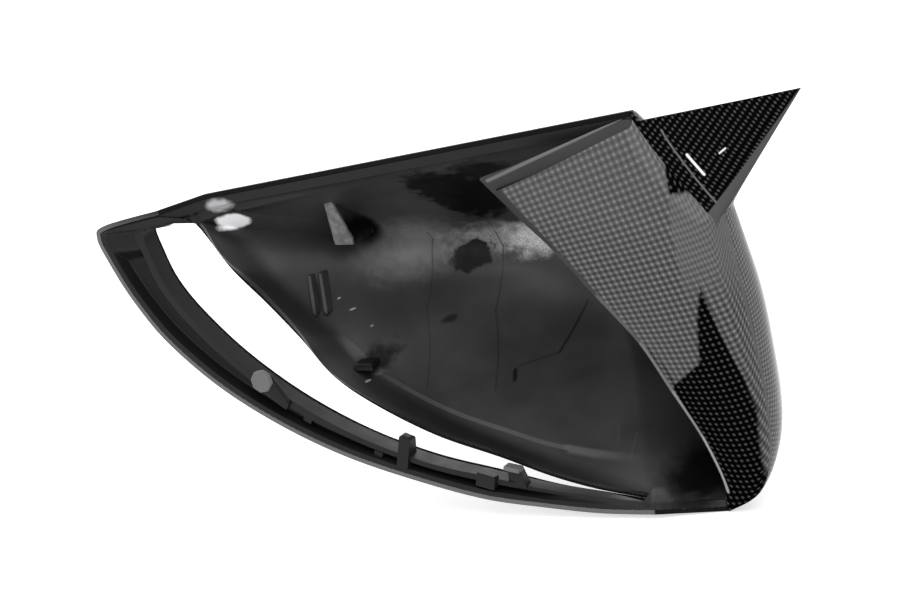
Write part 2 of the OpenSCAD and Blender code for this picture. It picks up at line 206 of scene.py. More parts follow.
@dataclass(frozen=True)
class CoverForm:
    """The cover's surfaces as functions of a ray number and a place along the ray.

    A ray runs from the nose over the bowl to the cover's edge, and on the flank on to its free edge.
    Knots are hundredths of the length, depth and height; results are in millimetres. A share is a part
    of the way from the nose to the edge, and a fullness is the power in the bowl's depth.
    """

    length: float = 235.0
    height: float = 136.0
    depth: float = 62.0
    nose_knot: tuple = (47.7, 0, -29.4)
    rim: float = 2.8
    rim_lift: float = 1.25
    rim_share: float = 0.957
    rim_power: float = 2.75
    rim_run: float = 0.02
    strip: float = 8.0
    strip_ends: tuple = (0.3, 0.12)
    strip_in: float = 2.0
    strip_straight: float = 0.4
    strip_turn: float = 0.35
    base_in: float = 3.85
    bulge: float = 15.0
    horn_reach: float = 57.0
    horn_forward: float = 2.0
    horn_rise: float = 5.0
    horn_root_ray: int = 1
    horn_tip_ray: int = 4
    ledge_place: float = 0.88
    outer_share: float = 0.935
    inner_share: float = 0.915
    plain_share: float = 0.93
    slot_run: float = 0.2
    fold: float = 0.7
    seat_share: float = 0.45
    seat_in: float = 3.25
    low_edge: tuple = (SLOT_END, (57, 3, -77.6), (49, 0, -76), (40.3, -5, -73.3), (30.4, -10, -68),
                       (20.7, -15, -61.4), (11.7, -19, -53.1), (3.4, -23, -42.7), (-4, -23, -31.2),
                       (-8.6, -22, -20.8), (-11.7, -21, -11), (-13.3, -19, -4.9),
                       (-11.7, -18.5, -1.9), RAIL_START)
    outer_edge: tuple = (HORN_FOOT, (84.1, -2, -20), (84.4, 2, -36), (84, 7, -51), (82.6, 12, -64),
                         (79.4, 17, -74), HEEL)
    free_edge: tuple = (FLANK_CORNER, (55.9, -24.5, -1.6), (58.7, -17, -10.1), (62.3, -8, -21.8),
                        (66.5, 1, -34.6), (69.2, 9, -47.7), (71.6, 17, -59.9), FLANK_TIP)
    slot_upper: tuple = ((57, 5, -71.9), (50.4, 2, -68.3), (43.3, 0, -63.5), (34, -3, -57.6),
                         (25.1, -4, -49.8), (19.2, -4, -42.6), (15.1, -4, -33.4), (10.3, -3, -24.4),
                         (5.5, -2, -16.1), (2.6, -1, -9.2), (1.1, 0, -6), (0.3, 0, -4.2))
    slot_lower: tuple = ((57.1, 12, -73.7), (50, 12, -72), (42.1, 8, -68), (32.6, 4, -63.5),
                         (23.3, 0, -56.8), (14.8, -5, -47.5), (7.2, -8, -36.8), (1.1, -8, -26.4),
                         (-2.8, -7, -17.8), (-5.1, -4, -10.1), (-6.2, -1, -4.4), (-3.2, -1, -3.4))
    slot_fullness: tuple = (1.4, 1.4, 1.45, 1.5, 1.5)
    slot_aim: tuple = (0.935, 0.92, 0.9, 0.87, 0.82, 0.79, 0.79, 0.8, 0.82, 0.86, 0.915)
    bulge_share: tuple = (0, 0.75, 1, 1, 0.95, 0.8, 0.5, 0.15)

    def at(self, knots: Sequence) -> Array:
        """Turns hundredths of length, depth and height into millimetres."""
        return np.asarray(knots, float) * (self.length, self.depth, self.height) / 100.0

    @property
    def nose(self) -> Array:
        """The bowl's pole, in the mouth plane."""
        return self.at(self.nose_knot)

    @property
    def corner(self) -> Array:
        """The upper outer corner of the cover."""
        return self.at(UPPER_CORNER)

    @property
    def seat(self) -> Array:
        """The frame's origin: mid-width on the lip, part way along the straight upper edge."""
        start = self.at(STRAIGHT_START)
        run = unit(self.corner - start)
        across = np.array([run[2], 0, -run[0]])
        return mix(start, self.corner, self.seat_share) + across * self.seat_in

    @property
    def horn_tip(self) -> Array:
        """The point of the horn."""
        return self.corner + (self.horn_reach, self.horn_forward, self.horn_rise)

    @property
    def stretches(self) -> tuple[Stretch, ...]:
        """The six stretches of the outline, in ray order."""
        return (Stretch(2, (RAIL_START, STRAIGHT_START), (1.5, 1.45)),
                Stretch(14, (STRAIGHT_START, UPPER_CORNER), (1.45, 1.2, 1.05, 0.95, 0.8)),
                Stretch(7, (UPPER_CORNER, HORN_FOOT), (0.8, 0.62)),
                Stretch(14, self.outer_edge, (0.62, 0.5, 0.5, 0.5, 0.6, 0.85)),
                Stretch(3, (HEEL, SLOT_END), (0.85, 1.4)),
                Stretch(39, self.low_edge, self.slot_fullness))

    @property
    def starts(self) -> Array:
        """First ray of each stretch, and after them the number of rays."""
        return np.concatenate([[0], np.cumsum([s.count for s in self.stretches])])

    @property
    def flank_span(self) -> tuple[int, int]:
        """First and last ray of the flank."""
        return self.starts[Zone.HORN], self.starts[Zone.FOOT]

    def outline(self, rays: Array) -> dict[str, Array]:
        """Edge point, fullness, stretch and share of each ray.

        Args:
            rays: Ray numbers, whole or between.

        Returns:
            Arrays named edge, full, zone, along (share of the stretch) and out (share of the rim).
        """
        rays = np.mod(rays, self.starts[-1])
        edge = np.zeros((len(rays), 3))
        full = np.zeros(len(rays))
        zone = np.zeros(len(rays), int)
        along = np.zeros(len(rays))
        for z, s in enumerate(self.stretches):
            t = (rays - self.starts[z]) / s.count
            mask = (t >= 0) & (t < 1)
            edge[mask] = spline(self.at(s.edge), t[mask])
            full[mask] = spline(s.fullness, t[mask])
            zone[mask] = z
            along[mask] = t[mask]
        out = np.select([zone == Zone.SLOT, zone == Zone.FOOT, zone == Zone.RAIL, zone == Zone.TOP],
                        [self.outer_share, mix(self.plain_share, self.outer_share, along),
                         self.inner_share, mix(self.inner_share, self.plain_share, along)],
                        self.plain_share)
        return {"edge": edge, "full": full, "zone": zone, "along": along, "out": out}

    def bowl_y(self, share: Array, full: Array) -> Array:
        """Depth times (1 - share^2) to the power of the fullness."""
        return self.depth * np.power(np.maximum(1.0 - share ** 2, 0.0), full)

    def on_bowl(self, edge: Array, share: Array, full: Array) -> Array:
        """Points at a share of the way from the nose to an edge point, on the bowl.

        Args:
            edge: Edge points.
            share: Share for each point.
            full: Fullness for each point.

        Returns:
            The points.
        """
        p = mix(self.nose, edge * IN_MOUTH, share[..., None])
        p[..., 1] = edge[..., 1] * share ** 2 + self.bowl_y(share, full)
        return p

    def slot_edges(self, along: Array) -> tuple[Array, Array]:
        """The slot's two edges, as curves through their knots that meet at the slot's two ends.

        Args:
            along: Shares of the slot's length, from its outer end.

        Returns:
            Points of the upper and of the lower edge.
        """
        one = np.ones(1)
        low = self.on_bowl(self.at((SLOT_END,)), one * self.outer_share,
                           one * self.slot_fullness[0])[0]
        high = self.on_bowl(self.at((RAIL_START,)), one * self.inner_share,
                            one * self.slot_fullness[-1])[0]
        upper, lower = (spline(np.vstack([low, self.at(knots), high]), along)
                        for knots in (self.slot_upper, self.slot_lower))
        return upper, lower

    def strip_depth(self, along: Array) -> Array:
        """Depth of the strip under the slot, tapering into the bowl at both ends."""
        return mix(self.base_in, self.strip, hump(along, (0.0, 1.0), self.strip_ends))

    def bowl(self, rays: Array, places: Array) -> Array:
        """Bowl points from the nose outwards.

        The point at place u lies u of the way from the nose to a mix of the aim and the rim, weighted
        u^4, and as deep as the bowl there plus a lift of u^2 that brings the last one to the rim.

        Args:
            rays: Ray numbers, n of them.
            places: Places u between nose and rim, m of them.

        Returns:
            Array of n by m points.
        """
        o = self.outline(rays)
        g, m, t = o["edge"], o["full"], o["along"]
        slot = (o["zone"] == Zone.SLOT) & (t > 0)
        upper, _ = self.slot_edges(t)
        rim = np.where(slot[:, None], upper, self.on_bowl(g, o["out"], m))
        first = mix(self.outer_share, 1, ease(t / self.slot_run))
        last = ease((t - 1 + self.slot_run) / self.slot_run)
        fade = np.where(slot, mix(first, self.inner_share, last), o["out"])
        lift = rim[:, 1] - self.bowl_y(fade, m)
        aim_at = mix(self.nose, g * IN_MOUTH, spline(self.slot_aim, t)[:, None])
        aim = np.where(slot[:, None], aim_at, rim)
        u = places[None, :, None]
        goal = mix(aim[:, None], rim[:, None], u ** 4)
        p = mix(self.nose, goal * IN_MOUTH, u)
        p[..., 1] = self.bowl_y(fade[:, None] * places, m[:, None]) + lift[:, None] * places ** 2
        return p

    def border(self, rays: Array, places: Array) -> Array:
        """Points from the rim, or the slot's far edge, to the cover's edge.

        Off the slot a point is on the bowl and at least as deep as a round rim. Under the slot the
        first part is straight and the rest a curve with one pull point, above the edge.

        Args:
            rays: Ray numbers, n of them.
            places: Places from 0 to 1, m of them.

        Returns:
            Array of n by m points.
        """
        o = self.outline(rays)
        g, m, t = o["edge"], o["full"], o["along"]
        out = o["out"][:, None]
        slot = (o["zone"] == Zone.SLOT) & (t > 0)
        s = mix(out, 1, np.sin(places * math.pi / 2))
        plain = self.on_bowl(np.repeat(g[:, None], len(places), 1), s, m[:, None])
        turn = np.clip((s - self.rim_share) / (1 - self.rim_share), 0, 1)
        round_rim = np.power(1 - turn ** self.rim_power, 1 / self.rim_power)
        least = g[:, None, 1] + self.rim_lift * self.rim * round_rim
        plain[..., 1] += np.maximum(least - plain[..., 1], 0) * ease((s - out) / self.rim_run)
        _, lower = self.slot_edges(t)
        inward = unit((lower - g) * IN_MOUTH)
        pull = g + inward * self.strip_in + np.stack([0 * t, self.strip_depth(t), 0 * t], 1)
        near = mix(pull, lower, self.strip_turn)
        q = places[None, :, None]
        line = mix(lower[:, None], near[:, None], np.clip(q / self.strip_straight, 0, 1))
        b = np.clip((q - self.strip_straight) / (1 - self.strip_straight), 0, 1)
        curve = near[:, None] * (1 - b) ** 2 + 2 * pull[:, None] * b * (1 - b) + g[:, None] * b ** 2
        strip = np.where(q < self.strip_straight, line, curve)
        return np.where(slot[:, None, None], strip, plain)

    def flank(self, rays: Array, turns: Array) -> Array:
        """Flank points: from edge to free edge by w = 1 - cos^fold, bulged back by sin^fold - w.

        Args:
            rays: Ray numbers, any shape.
            turns: Angles from 0 to 90 degrees, the same shape.

        Returns:
            Points in one more axis.
        """
        k0, k1 = self.flank_span
        t = ((rays - k0) / (k1 - k0)).ravel()
        g = self.outline(np.clip(rays.ravel(), k0, k1 - TINY))["edge"]
        q = spline(self.at(self.free_edge), t)
        b = self.bulge * spline(self.bulge_share, t)
        a = np.radians(turns.ravel())
        w = 1 - np.power(np.clip(np.cos(a), 0, 1), self.fold)
        v = np.power(np.sin(a), self.fold)
        p = mix(g, q, w[:, None])
        p[:, 1] -= b * (v - w)
        return p.reshape(rays.shape + (3,))

    def horn_shift(self, rays: Array) -> Array:
        """How far each ray's edge is pulled out to the horn's two straight edges.

        Args:
            rays: Ray numbers.

        Returns:
            A shift for each ray, nought off the horn.
        """
        k0 = self.starts[Zone.HORN]
        root, peak, foot = k0 + self.horn_root_ray, k0 + self.horn_tip_ray, self.starts[Zone.OUTER]
        start = self.outline(np.array([root], float))["edge"][0]
        up = mix(start, self.horn_tip, ((rays - root) / (peak - root))[:, None])
        down = mix(self.horn_tip, self.at(HORN_FOOT), ((rays - peak) / (foot - peak))[:, None])
        line = np.where((rays <= peak)[:, None], up, down)
        inside = (rays > root) & (rays < foot)
        return np.where(inside[:, None], line - self.outline(rays)["edge"], 0.0)


@dataclass
class SheetSide:
    """One face of a shell: rows of its bowl, border and flank, and its pole."""

    bowl: Array
    border: Array
    flank: Array
    pole: Array

    @property
    def points(self) -> Array:
        """All points, row after row, the pole last."""
        parts = (self.bowl, self.border, self.flank, self.pole)
        return np.concatenate([part.reshape(-1, 3) for part in parts])


@dataclass(frozen=True)
class Rows:
    """Vertex numbers of one side of a shell. The flank's first column is the border's last."""

    bowl: Array
    border: Array
    flank: Array
    pole: int


@dataclass(frozen=True)
class WeaveChart:
    """Flat places that the weave follows.

    places holds one for each point of the front and then of the back. horn_axes holds the origin and
    two axes of the horn's flat rear face, one in each row, and horn_grid the rays and stations of the
    flank that make up that face.
    """

    places: Array
    horn_axes: Array
    horn_grid: tuple[int, int]


@dataclass
class Shell:
    """A closed shell between a front and a back side."""

    front: SheetSide
    back: SheetSide
    slot: Array
    flank_rays: Array
    seat: Array

    def build(self, name: str, chart: WeaveChart | None = None) -> bpy.types.Object:
        """Joins the two sides along every edge into one closed mesh.

        Args:
            name: Name of the new object.
            chart: Flat places for a pattern that follows the surface.

        Returns:
            The object, in metres.
        """
        f = self._number(self.front, 0)
        b = self._number(self.back, f.pole + 1)
        quads, kinds = self._quads(f, b, chart.horn_grid if chart else (0, 0))
        tris = np.concatenate([self._cap(f), self._cap(b)])
        points = np.concatenate([self.front.points, self.back.points])
        used, flat = np.unique(np.concatenate([quads.ravel(), tris.ravel()]), return_inverse=True)
        faces = flat[:quads.size].reshape(-1, 4).tolist()
        faces += flat[quads.size:].reshape(-1, 3).tolist()
        mesh = bpy.data.meshes.new(name)
        mesh.from_pydata(((points[used] - self.seat) * MM).tolist(), [], faces)
        obj = add_object(name, mesh)
        face_outwards(mesh)
        kinds = np.concatenate([kinds, np.full(len(tris), int(Patch.BOWL))])
        patch = mesh.attributes.new("patch", "FLOAT", "FACE")
        patch.data.foreach_set("value", kinds.astype(float))
        if chart:
            on_horn = (points[used] - chart.horn_axes[0]) @ chart.horn_axes[1:].T
            write_chart(mesh, chart.places[used], on_horn, kinds == Patch.HORN)
        return obj

    def _number(self, side: SheetSide, base: int) -> Rows:
        """Numbers one side's points and joins its rows where they share points.

        Args:
            side: The side.
            base: Number of its first point.

        Returns:
            Its vertex numbers.
        """
        n, nb = side.bowl.shape[:2]
        ns = side.border.shape[1]
        rays, nf = side.flank.shape[:2]
        bowl = base + np.arange(n * nb).reshape(n, nb)
        border = base + n * nb + np.arange(n * ns).reshape(n, ns)
        flank = base + n * (nb + ns) + np.arange(rays * nf).reshape(rays, nf)
        border[~self.slot, 0] = bowl[~self.slot, -1]
        flank = np.concatenate([border[self.flank_rays, -1:], flank], 1)
        return Rows(bowl, border, flank, base + n * (nb + ns) + rays * nf)

    def _quads(self, f: Rows, b: Rows, horn_grid: tuple[int, int]) -> tuple[Array, Array]:
        """Quads of both sides and of the walls between them.

        Args:
            f: The front's vertex numbers.
            b: The back's vertex numbers.
            horn_grid: Rays and stations of the flank that are the horn's rear face.

        Returns:
            The quads and the kind of each.
        """
        n = len(self.slot)
        following = np.roll(np.arange(n), -1)
        slot = self.slot | self.slot[following]
        on_flank = np.isin(np.arange(n), self.flank_rays)
        rim = ~(on_flank & on_flank[following])
        parts: list[tuple[Array, Any]] = []
        for rows in (f, b):
            fold = np.full((rows.flank.shape[0] - 1, rows.flank.shape[1] - 1), int(Patch.FLANK))
            fold[:horn_grid[0], :horn_grid[1]] = Patch.HORN
            parts += [(self._grid(rows.bowl, True), Patch.BOWL),
                      (self._grid(rows.border, True), Patch.BOWL),
                      (self._grid(rows.flank, False), fold.ravel())]
        edges = f.border[:, -1], b.border[:, -1]
        parts += [(self._wall(f.bowl[:, -1], b.bowl[:, -1], slot), Patch.CUT_DARK),
                  (self._wall(f.border[:, 0], b.border[:, 0], slot), Patch.CUT_DARK),
                  (self._wall(*edges, rim & ~slot), Patch.CUT_DARK),
                  (self._wall(*edges, rim & slot), Patch.CUT_LIGHT),
                  (self._strip(f.flank[:, -1], b.flank[:, -1]), Patch.CUT_LIGHT),
                  (self._strip(f.flank[0], b.flank[0]), Patch.CUT_DARK),
                  (self._strip(f.flank[-1], b.flank[-1]), Patch.CUT_DARK)]
        kinds = [np.broadcast_to(kind, len(quads)) for quads, kind in parts]
        return np.concatenate([quads for quads, _ in parts]), np.concatenate(kinds)

    @staticmethod
    def _cap(rows: Rows) -> Array:
        """Triangles between the pole and the bowl's first ring."""
        ring = rows.bowl[:, 0]
        return np.stack([np.full(len(ring), rows.pole), ring, np.roll(ring, -1)], 1)

    @staticmethod
    def _grid(idx: Array, closed: bool) -> Array:
        """Quads of a grid of vertex numbers, closed round its rays if asked."""
        a = idx if closed else idx[:-1]
        c = np.roll(idx, -1, 0) if closed else idx[1:]
        return np.stack([a[:, :-1], a[:, 1:], c[:, 1:], c[:, :-1]], -1).reshape(-1, 4)

    @staticmethod
    def _wall(a: Array, b: Array, pick: Array) -> Array:
        """Quads between two closed rows, where pick is true."""
        return np.stack([a, np.roll(a, -1), np.roll(b, -1), b], 1)[pick]

    @staticmethod
    def _strip(a: Array, b: Array) -> Array:
        """Quads between two open rows."""
        return np.stack([a[:-1], a[1:], b[1:], b[:-1]], 1)


def add_object(name: str, mesh: bpy.types.Mesh) -> bpy.types.Object:
    """Links a new object for a mesh and returns it."""
    obj = bpy.data.objects.new(name, mesh)
    bpy.context.scene.collection.objects.link(obj)
    return obj


def face_outwards(mesh: bpy.types.Mesh, sharp: float = 38.0) -> None:
    """Turns a closed mesh's faces outwards and shades it smooth up to an angle.

    Args:
        mesh: Closed mesh.
        sharp: Angle in degrees past which an edge stays sharp.
    """
    bm = bmesh.new()
    bm.from_mesh(mesh)
    bmesh.ops.recalc_face_normals(bm, faces=bm.faces)
    bm.to_mesh(mesh)
    bm.free()
    mesh.polygons.foreach_set("use_smooth", [True] * len(mesh.polygons))
    mesh.set_sharp_from_angle(angle=math.radians(sharp))
    mesh.update()


def write_chart(mesh: bpy.types.Mesh, places: Array, horn_places: Array, on_horn: Array) -> None:
    """Stores flat places in millimetres as the mesh's UV map.

    Args:
        mesh: The mesh.
        places: Flat place of each vertex.
        horn_places: Flat place of each vertex on the horn's rear face.
        on_horn: For each face, whether it belongs to that face.
    """
    layer = mesh.uv_layers.new(name="weave")
    loops = np.zeros(len(mesh.loops), int)
    mesh.loops.foreach_get("vertex_index", loops)
    corners = np.zeros(len(mesh.polygons), int)
    mesh.polygons.foreach_get("loop_total", corners)
    pick = np.repeat(on_horn, corners)[:, None]
    layer.data.foreach_set("uv", np.where(pick, horn_places[loops], places[loops]).ravel())


@dataclass
class CoverSurface:
    """The cover's outer surface on a fine grid, with its normals."""

    form: CoverForm = field(default_factory=CoverForm)
    fine: int = 4
    bowl_steps: int = 26
    rim_steps: int = 6
    rim_from: float = 0.9
    border_steps: int = 13
    flank_steps: int = 30
    ring_turn: float = 75.0
    ledge_gap: float = 0.012
    land_turn: float = 25.7
    end_blend: float = 0.6

    def __post_init__(self) -> None:
        """Works out the grids once."""
        f = self.form
        self.rays = np.arange(f.starts[-1] * self.fine) / self.fine
        near = self.ring_place(np.arange(1, self.bowl_steps) / (self.bowl_steps - 1))
        self.places = np.concatenate([near, [f.ledge_place],
                                      np.linspace(self.rim_from, 1, self.rim_steps)])
        self.border_places = np.linspace(0, 1, self.border_steps)
        self.turns = np.linspace(0, 90, self.flank_steps + 1)
        self.outline = f.outline(self.rays)
        self.slot = (self.outline["zone"] == Zone.SLOT) & (self.outline["along"] > 0)
        first, last = (int(ray) * self.fine for ray in f.flank_span)
        self.flank_rays = np.arange(first, last + 1)
        self.on_flank = np.isin(np.arange(len(self.rays)), self.flank_rays)
        self.bowl = f.bowl(self.rays, self.places)
        self.border = f.border(self.rays, self.border_places)
        self.bowl_normal, self.border_normal = self._normals()

    def ring_place(self, share: Any) -> Any:
        """Place of a ring: sin(share * turn) / sin(turn) of the way to the ledge."""
        turn = np.radians(self.ring_turn)
        return (self.form.ledge_place - self.ledge_gap) * np.sin(turn * share) / np.sin(turn)

    def _normals(self) -> tuple[Array, Array]:
        """Normals from neighbouring points: one-sided at the slot, flat at the free rim.

        Returns:
            Normals of the bowl and of the border.
        """
        nb = len(self.places)
        both = np.concatenate([self.bowl, self.border], 1)
        along = np.gradient(both, axis=1)
        slot = self.slot[:, None]
        step = both[:, nb + 1] - both[:, nb - 2]
        along[:, nb - 1] = np.where(slot, both[:, nb - 1] - both[:, nb - 2], step)
        along[:, nb] = np.where(slot, both[:, nb + 1] - both[:, nb], step)
        across = np.roll(both, -1, 0) - np.roll(both, 1, 0)
        normal = unit(np.cross(along, across))
        run = (np.roll(self.border[:, -1], -1, 0) - np.roll(self.border[:, -1], 1, 0)) * IN_MOUTH
        flat = -unit(np.stack([run[:, 2], 0 * run[:, 0], -run[:, 0]], 1))
        normal[:, -1] = np.where(self.on_flank[:, None], normal[:, -1], flat)
        return normal[:, :nb], normal[:, nb:]

    def flank_grid(self, land: float, proud: float) -> tuple[Array, Array]:
        """Ray numbers and angles of the flank's grid.

        Args:
            land: Width of bare base left free below the flank's upper edge, in millimetres.
            proud: Width left free at the free edge, in millimetres.

        Returns:
            Ray numbers and angles, both rays by stations, the first station on the cover's edge.
        """
        f = self.form
        k0, k1 = f.flank_span
        rays = np.repeat(self.rays[self.flank_rays][:, None], len(self.turns), 1)
        turns = np.repeat(self.turns[None], len(rays), 0)
        one_ray = slice(self.fine, self.fine + 1)
        across = f.flank(rays[one_ray], turns[:1]) - f.flank(rays[:1], turns[:1])
        gap = np.linalg.norm(across, axis=-1)
        shift = land * ease(self.turns / self.land_turn) / gap[0]
        rays = rays + shift * (1 - (rays - k0) / (k1 - k0))
        ends = f.flank(rays[:, [0, -1]], turns[:, [0, -1]])
        span = np.linalg.norm(ends[:, 1] - ends[:, 0], axis=-1)[:, None]
        w = 1 - np.power(np.clip(np.cos(np.radians(turns)), 0, 1), f.fold)
        w = w * (1 - proud / span)
        return rays, np.degrees(np.arccos(np.clip(np.power(1 - w, 1 / f.fold), 0, 1)))

    def side(self, depth: float, land: float = 0.0, proud: float = 0.0) -> SheetSide:
        """One side of a shell, sunk below the outer surface by a depth.

        Args:
            depth: Depth in millimetres.
            land: See flank_grid.
            proud: See flank_grid.

        Returns:
            The side's rows.
        """
        flank = self.form.flank(*self.flank_grid(land, proud))
        normal = slopes(flank)
        normal[:, 0] = unit(normal[:, 0] + self.border_normal[self.flank_rays, -1])
        border = self.border - self.border_normal * depth
        border[self.flank_rays, -1] = flank[:, 0] - normal[:, 0] * depth
        w = ease(np.linspace(0, 1, flank.shape[1]) / self.end_blend)[:, None]
        for end in (0, -1):
            normal[end] = mix(self.border_normal[self.flank_rays[end], -1], normal[end], w)
        pole = self.form.nose + (0.0, self.form.depth - depth, 0.0)
        return SheetSide(self.bowl - self.bowl_normal * depth, border,
                         (flank - normal * depth)[:, 1:], pole)

    def shell(self, front: SheetSide, back: SheetSide) -> Shell:
        """The shell between two sides of this surface."""
        return Shell(front, back, self.slot, self.flank_rays, self.form.seat)


@dataclass
class CarbonSkin:
    """The bonded carbon skin, with the horn at its upper outer corner."""

    surface: CoverSurface
    thick: float = 1.5
    land: float = 5.0
    proud: float = 1.8
    pull_from: float = 0.8
    pull_power: float = 5.3
    pull_full: float = 6.0
    horn_turn: float = 90.0 / 7.0
    seam_share: float = 0.3
    seam_stations: int = 3

    def build(self) -> bpy.types.Object:
        """Makes the skin: the outer surface with the horn pulled out, and a back sunk below it.

        Returns:
            The skin.
        """
        s = self.surface
        front = s.side(0.0, self.land, self.proud)
        back = s.side(self.thick, self.land, self.proud)
        places = np.concatenate([self._chart(front), self._chart(back)])
        still = front.points
        self._pull_horn(front)
        cup = front.bowl[..., 0].size + front.border[..., 0].size
        places[:cup] += (front.points - still)[:cup, [0, 2]]
        root, foot = s.form.corner, s.form.at(HORN_FOOT)
        rise = unit(s.form.horn_tip - foot)
        across = unit(np.cross(np.cross(rise, root - foot), rise))
        rays = s.form.stretches[Zone.HORN].count * s.fine
        horn_grid = rays, self._horn_stations() + 1
        chart = WeaveChart(places, np.stack([foot, across, rise]), horn_grid)
        return s.shell(front, back).build("carbon_skin_dressed", chart)

    def _horn_stations(self) -> int:
        """Number of the flank's stations inside the horn's rear face."""
        return int(np.searchsorted(self.surface.turns[1:], self.horn_turn))

    def _pull_horn(self, front: SheetSide) -> None:
        """Pulls the edge out to the horn, less towards the nose, and rules its rear face flat.

        A point at share s of the way from the nose moves by ((s - from) / (1 - from))^power of the
        pull. The flank's first stations are spread evenly between the pulled edge and the first
        station outside the horn.

        Args:
            front: The skin's outer side, changed in place.
        """
        s = self.surface
        shift = s.form.horn_shift(s.rays)
        out = s.outline["out"][:, None]
        for rows, share in ((front.bowl, out * s.places),
                            (front.border, mix(out, 1, np.sin(s.border_places * math.pi / 2)))):
            way = np.clip((share - self.pull_from) / (1 - self.pull_from), 0, 1)
            rows += shift[:, None] * (way ** self.pull_power)[..., None]
        edge = front.border[s.flank_rays, -1][:, None]
        turns, last = s.turns[1:], self._horn_stations()
        share = (turns[:last] / turns[last])[None, :, None]
        ruled = mix(edge, front.flank[:, last:last + 1], share)
        pull = np.linalg.norm(shift[s.flank_rays], axis=1)
        weight = np.clip(pull / self.pull_full, 0, 1)[:, None, None]
        front.flank[:, :last] += (ruled - front.flank[:, :last]) * weight

    def _chart(self, side: SheetSide) -> Array:
        """Flat places for the weave, in millimetres.

        The bowl is rolled out by distance from the nose along each ray. The flank lies on the plane of
        its three corners from its seam to the free edge, and is rolled out by distance from the seam
        to the cover's edge.

        Args:
            side: A side of the skin before the horn is pulled out.

        Returns:
            One flat place for each point of the side, in the order of its rows.
        """
        s = self.surface
        whole = np.concatenate([side.bowl, side.border], 1)
        first = np.linalg.norm(whole[:, :1] - side.pole, axis=-1)
        steps = np.linalg.norm(np.diff(whole, axis=1), axis=-1)
        reach = np.concatenate([first, first + np.cumsum(steps, 1)], 1)
        aim = unit((s.outline["edge"] - s.form.nose) * IN_MOUTH)
        disc = reach[..., None] * aim[:, None][..., [0, 2]]
        a, b, c = (s.form.at(knot) for knot in (FLANK_CORNER, UPPER_CORNER, FLANK_TIP))
        run = unit(b - a)
        rise = unit(np.cross(np.cross(run, c - a), run))
        flat = np.stack([(side.flank - a) @ run, (side.flank - a) @ rise], -1)
        seam = int(side.flank.shape[1] * self.seam_share)
        way = unit(flat[:, seam] - flat[:, seam + self.seam_stations])
        steps = np.linalg.norm(np.diff(side.flank[:, :seam + 1], axis=1), axis=-1)
        rolled = np.cumsum(steps[:, ::-1], 1)[:, ::-1]
        flat[:, :seam] = flat[:, seam:seam + 1] + way[:, None] * rolled[..., None]
        nb = side.bowl.shape[1]
        return np.concatenate([disc[:, :nb].reshape(-1, 2), disc[:, nb:].reshape(-1, 2),
                               flat.reshape(-1, 2), np.zeros((1, 2))])


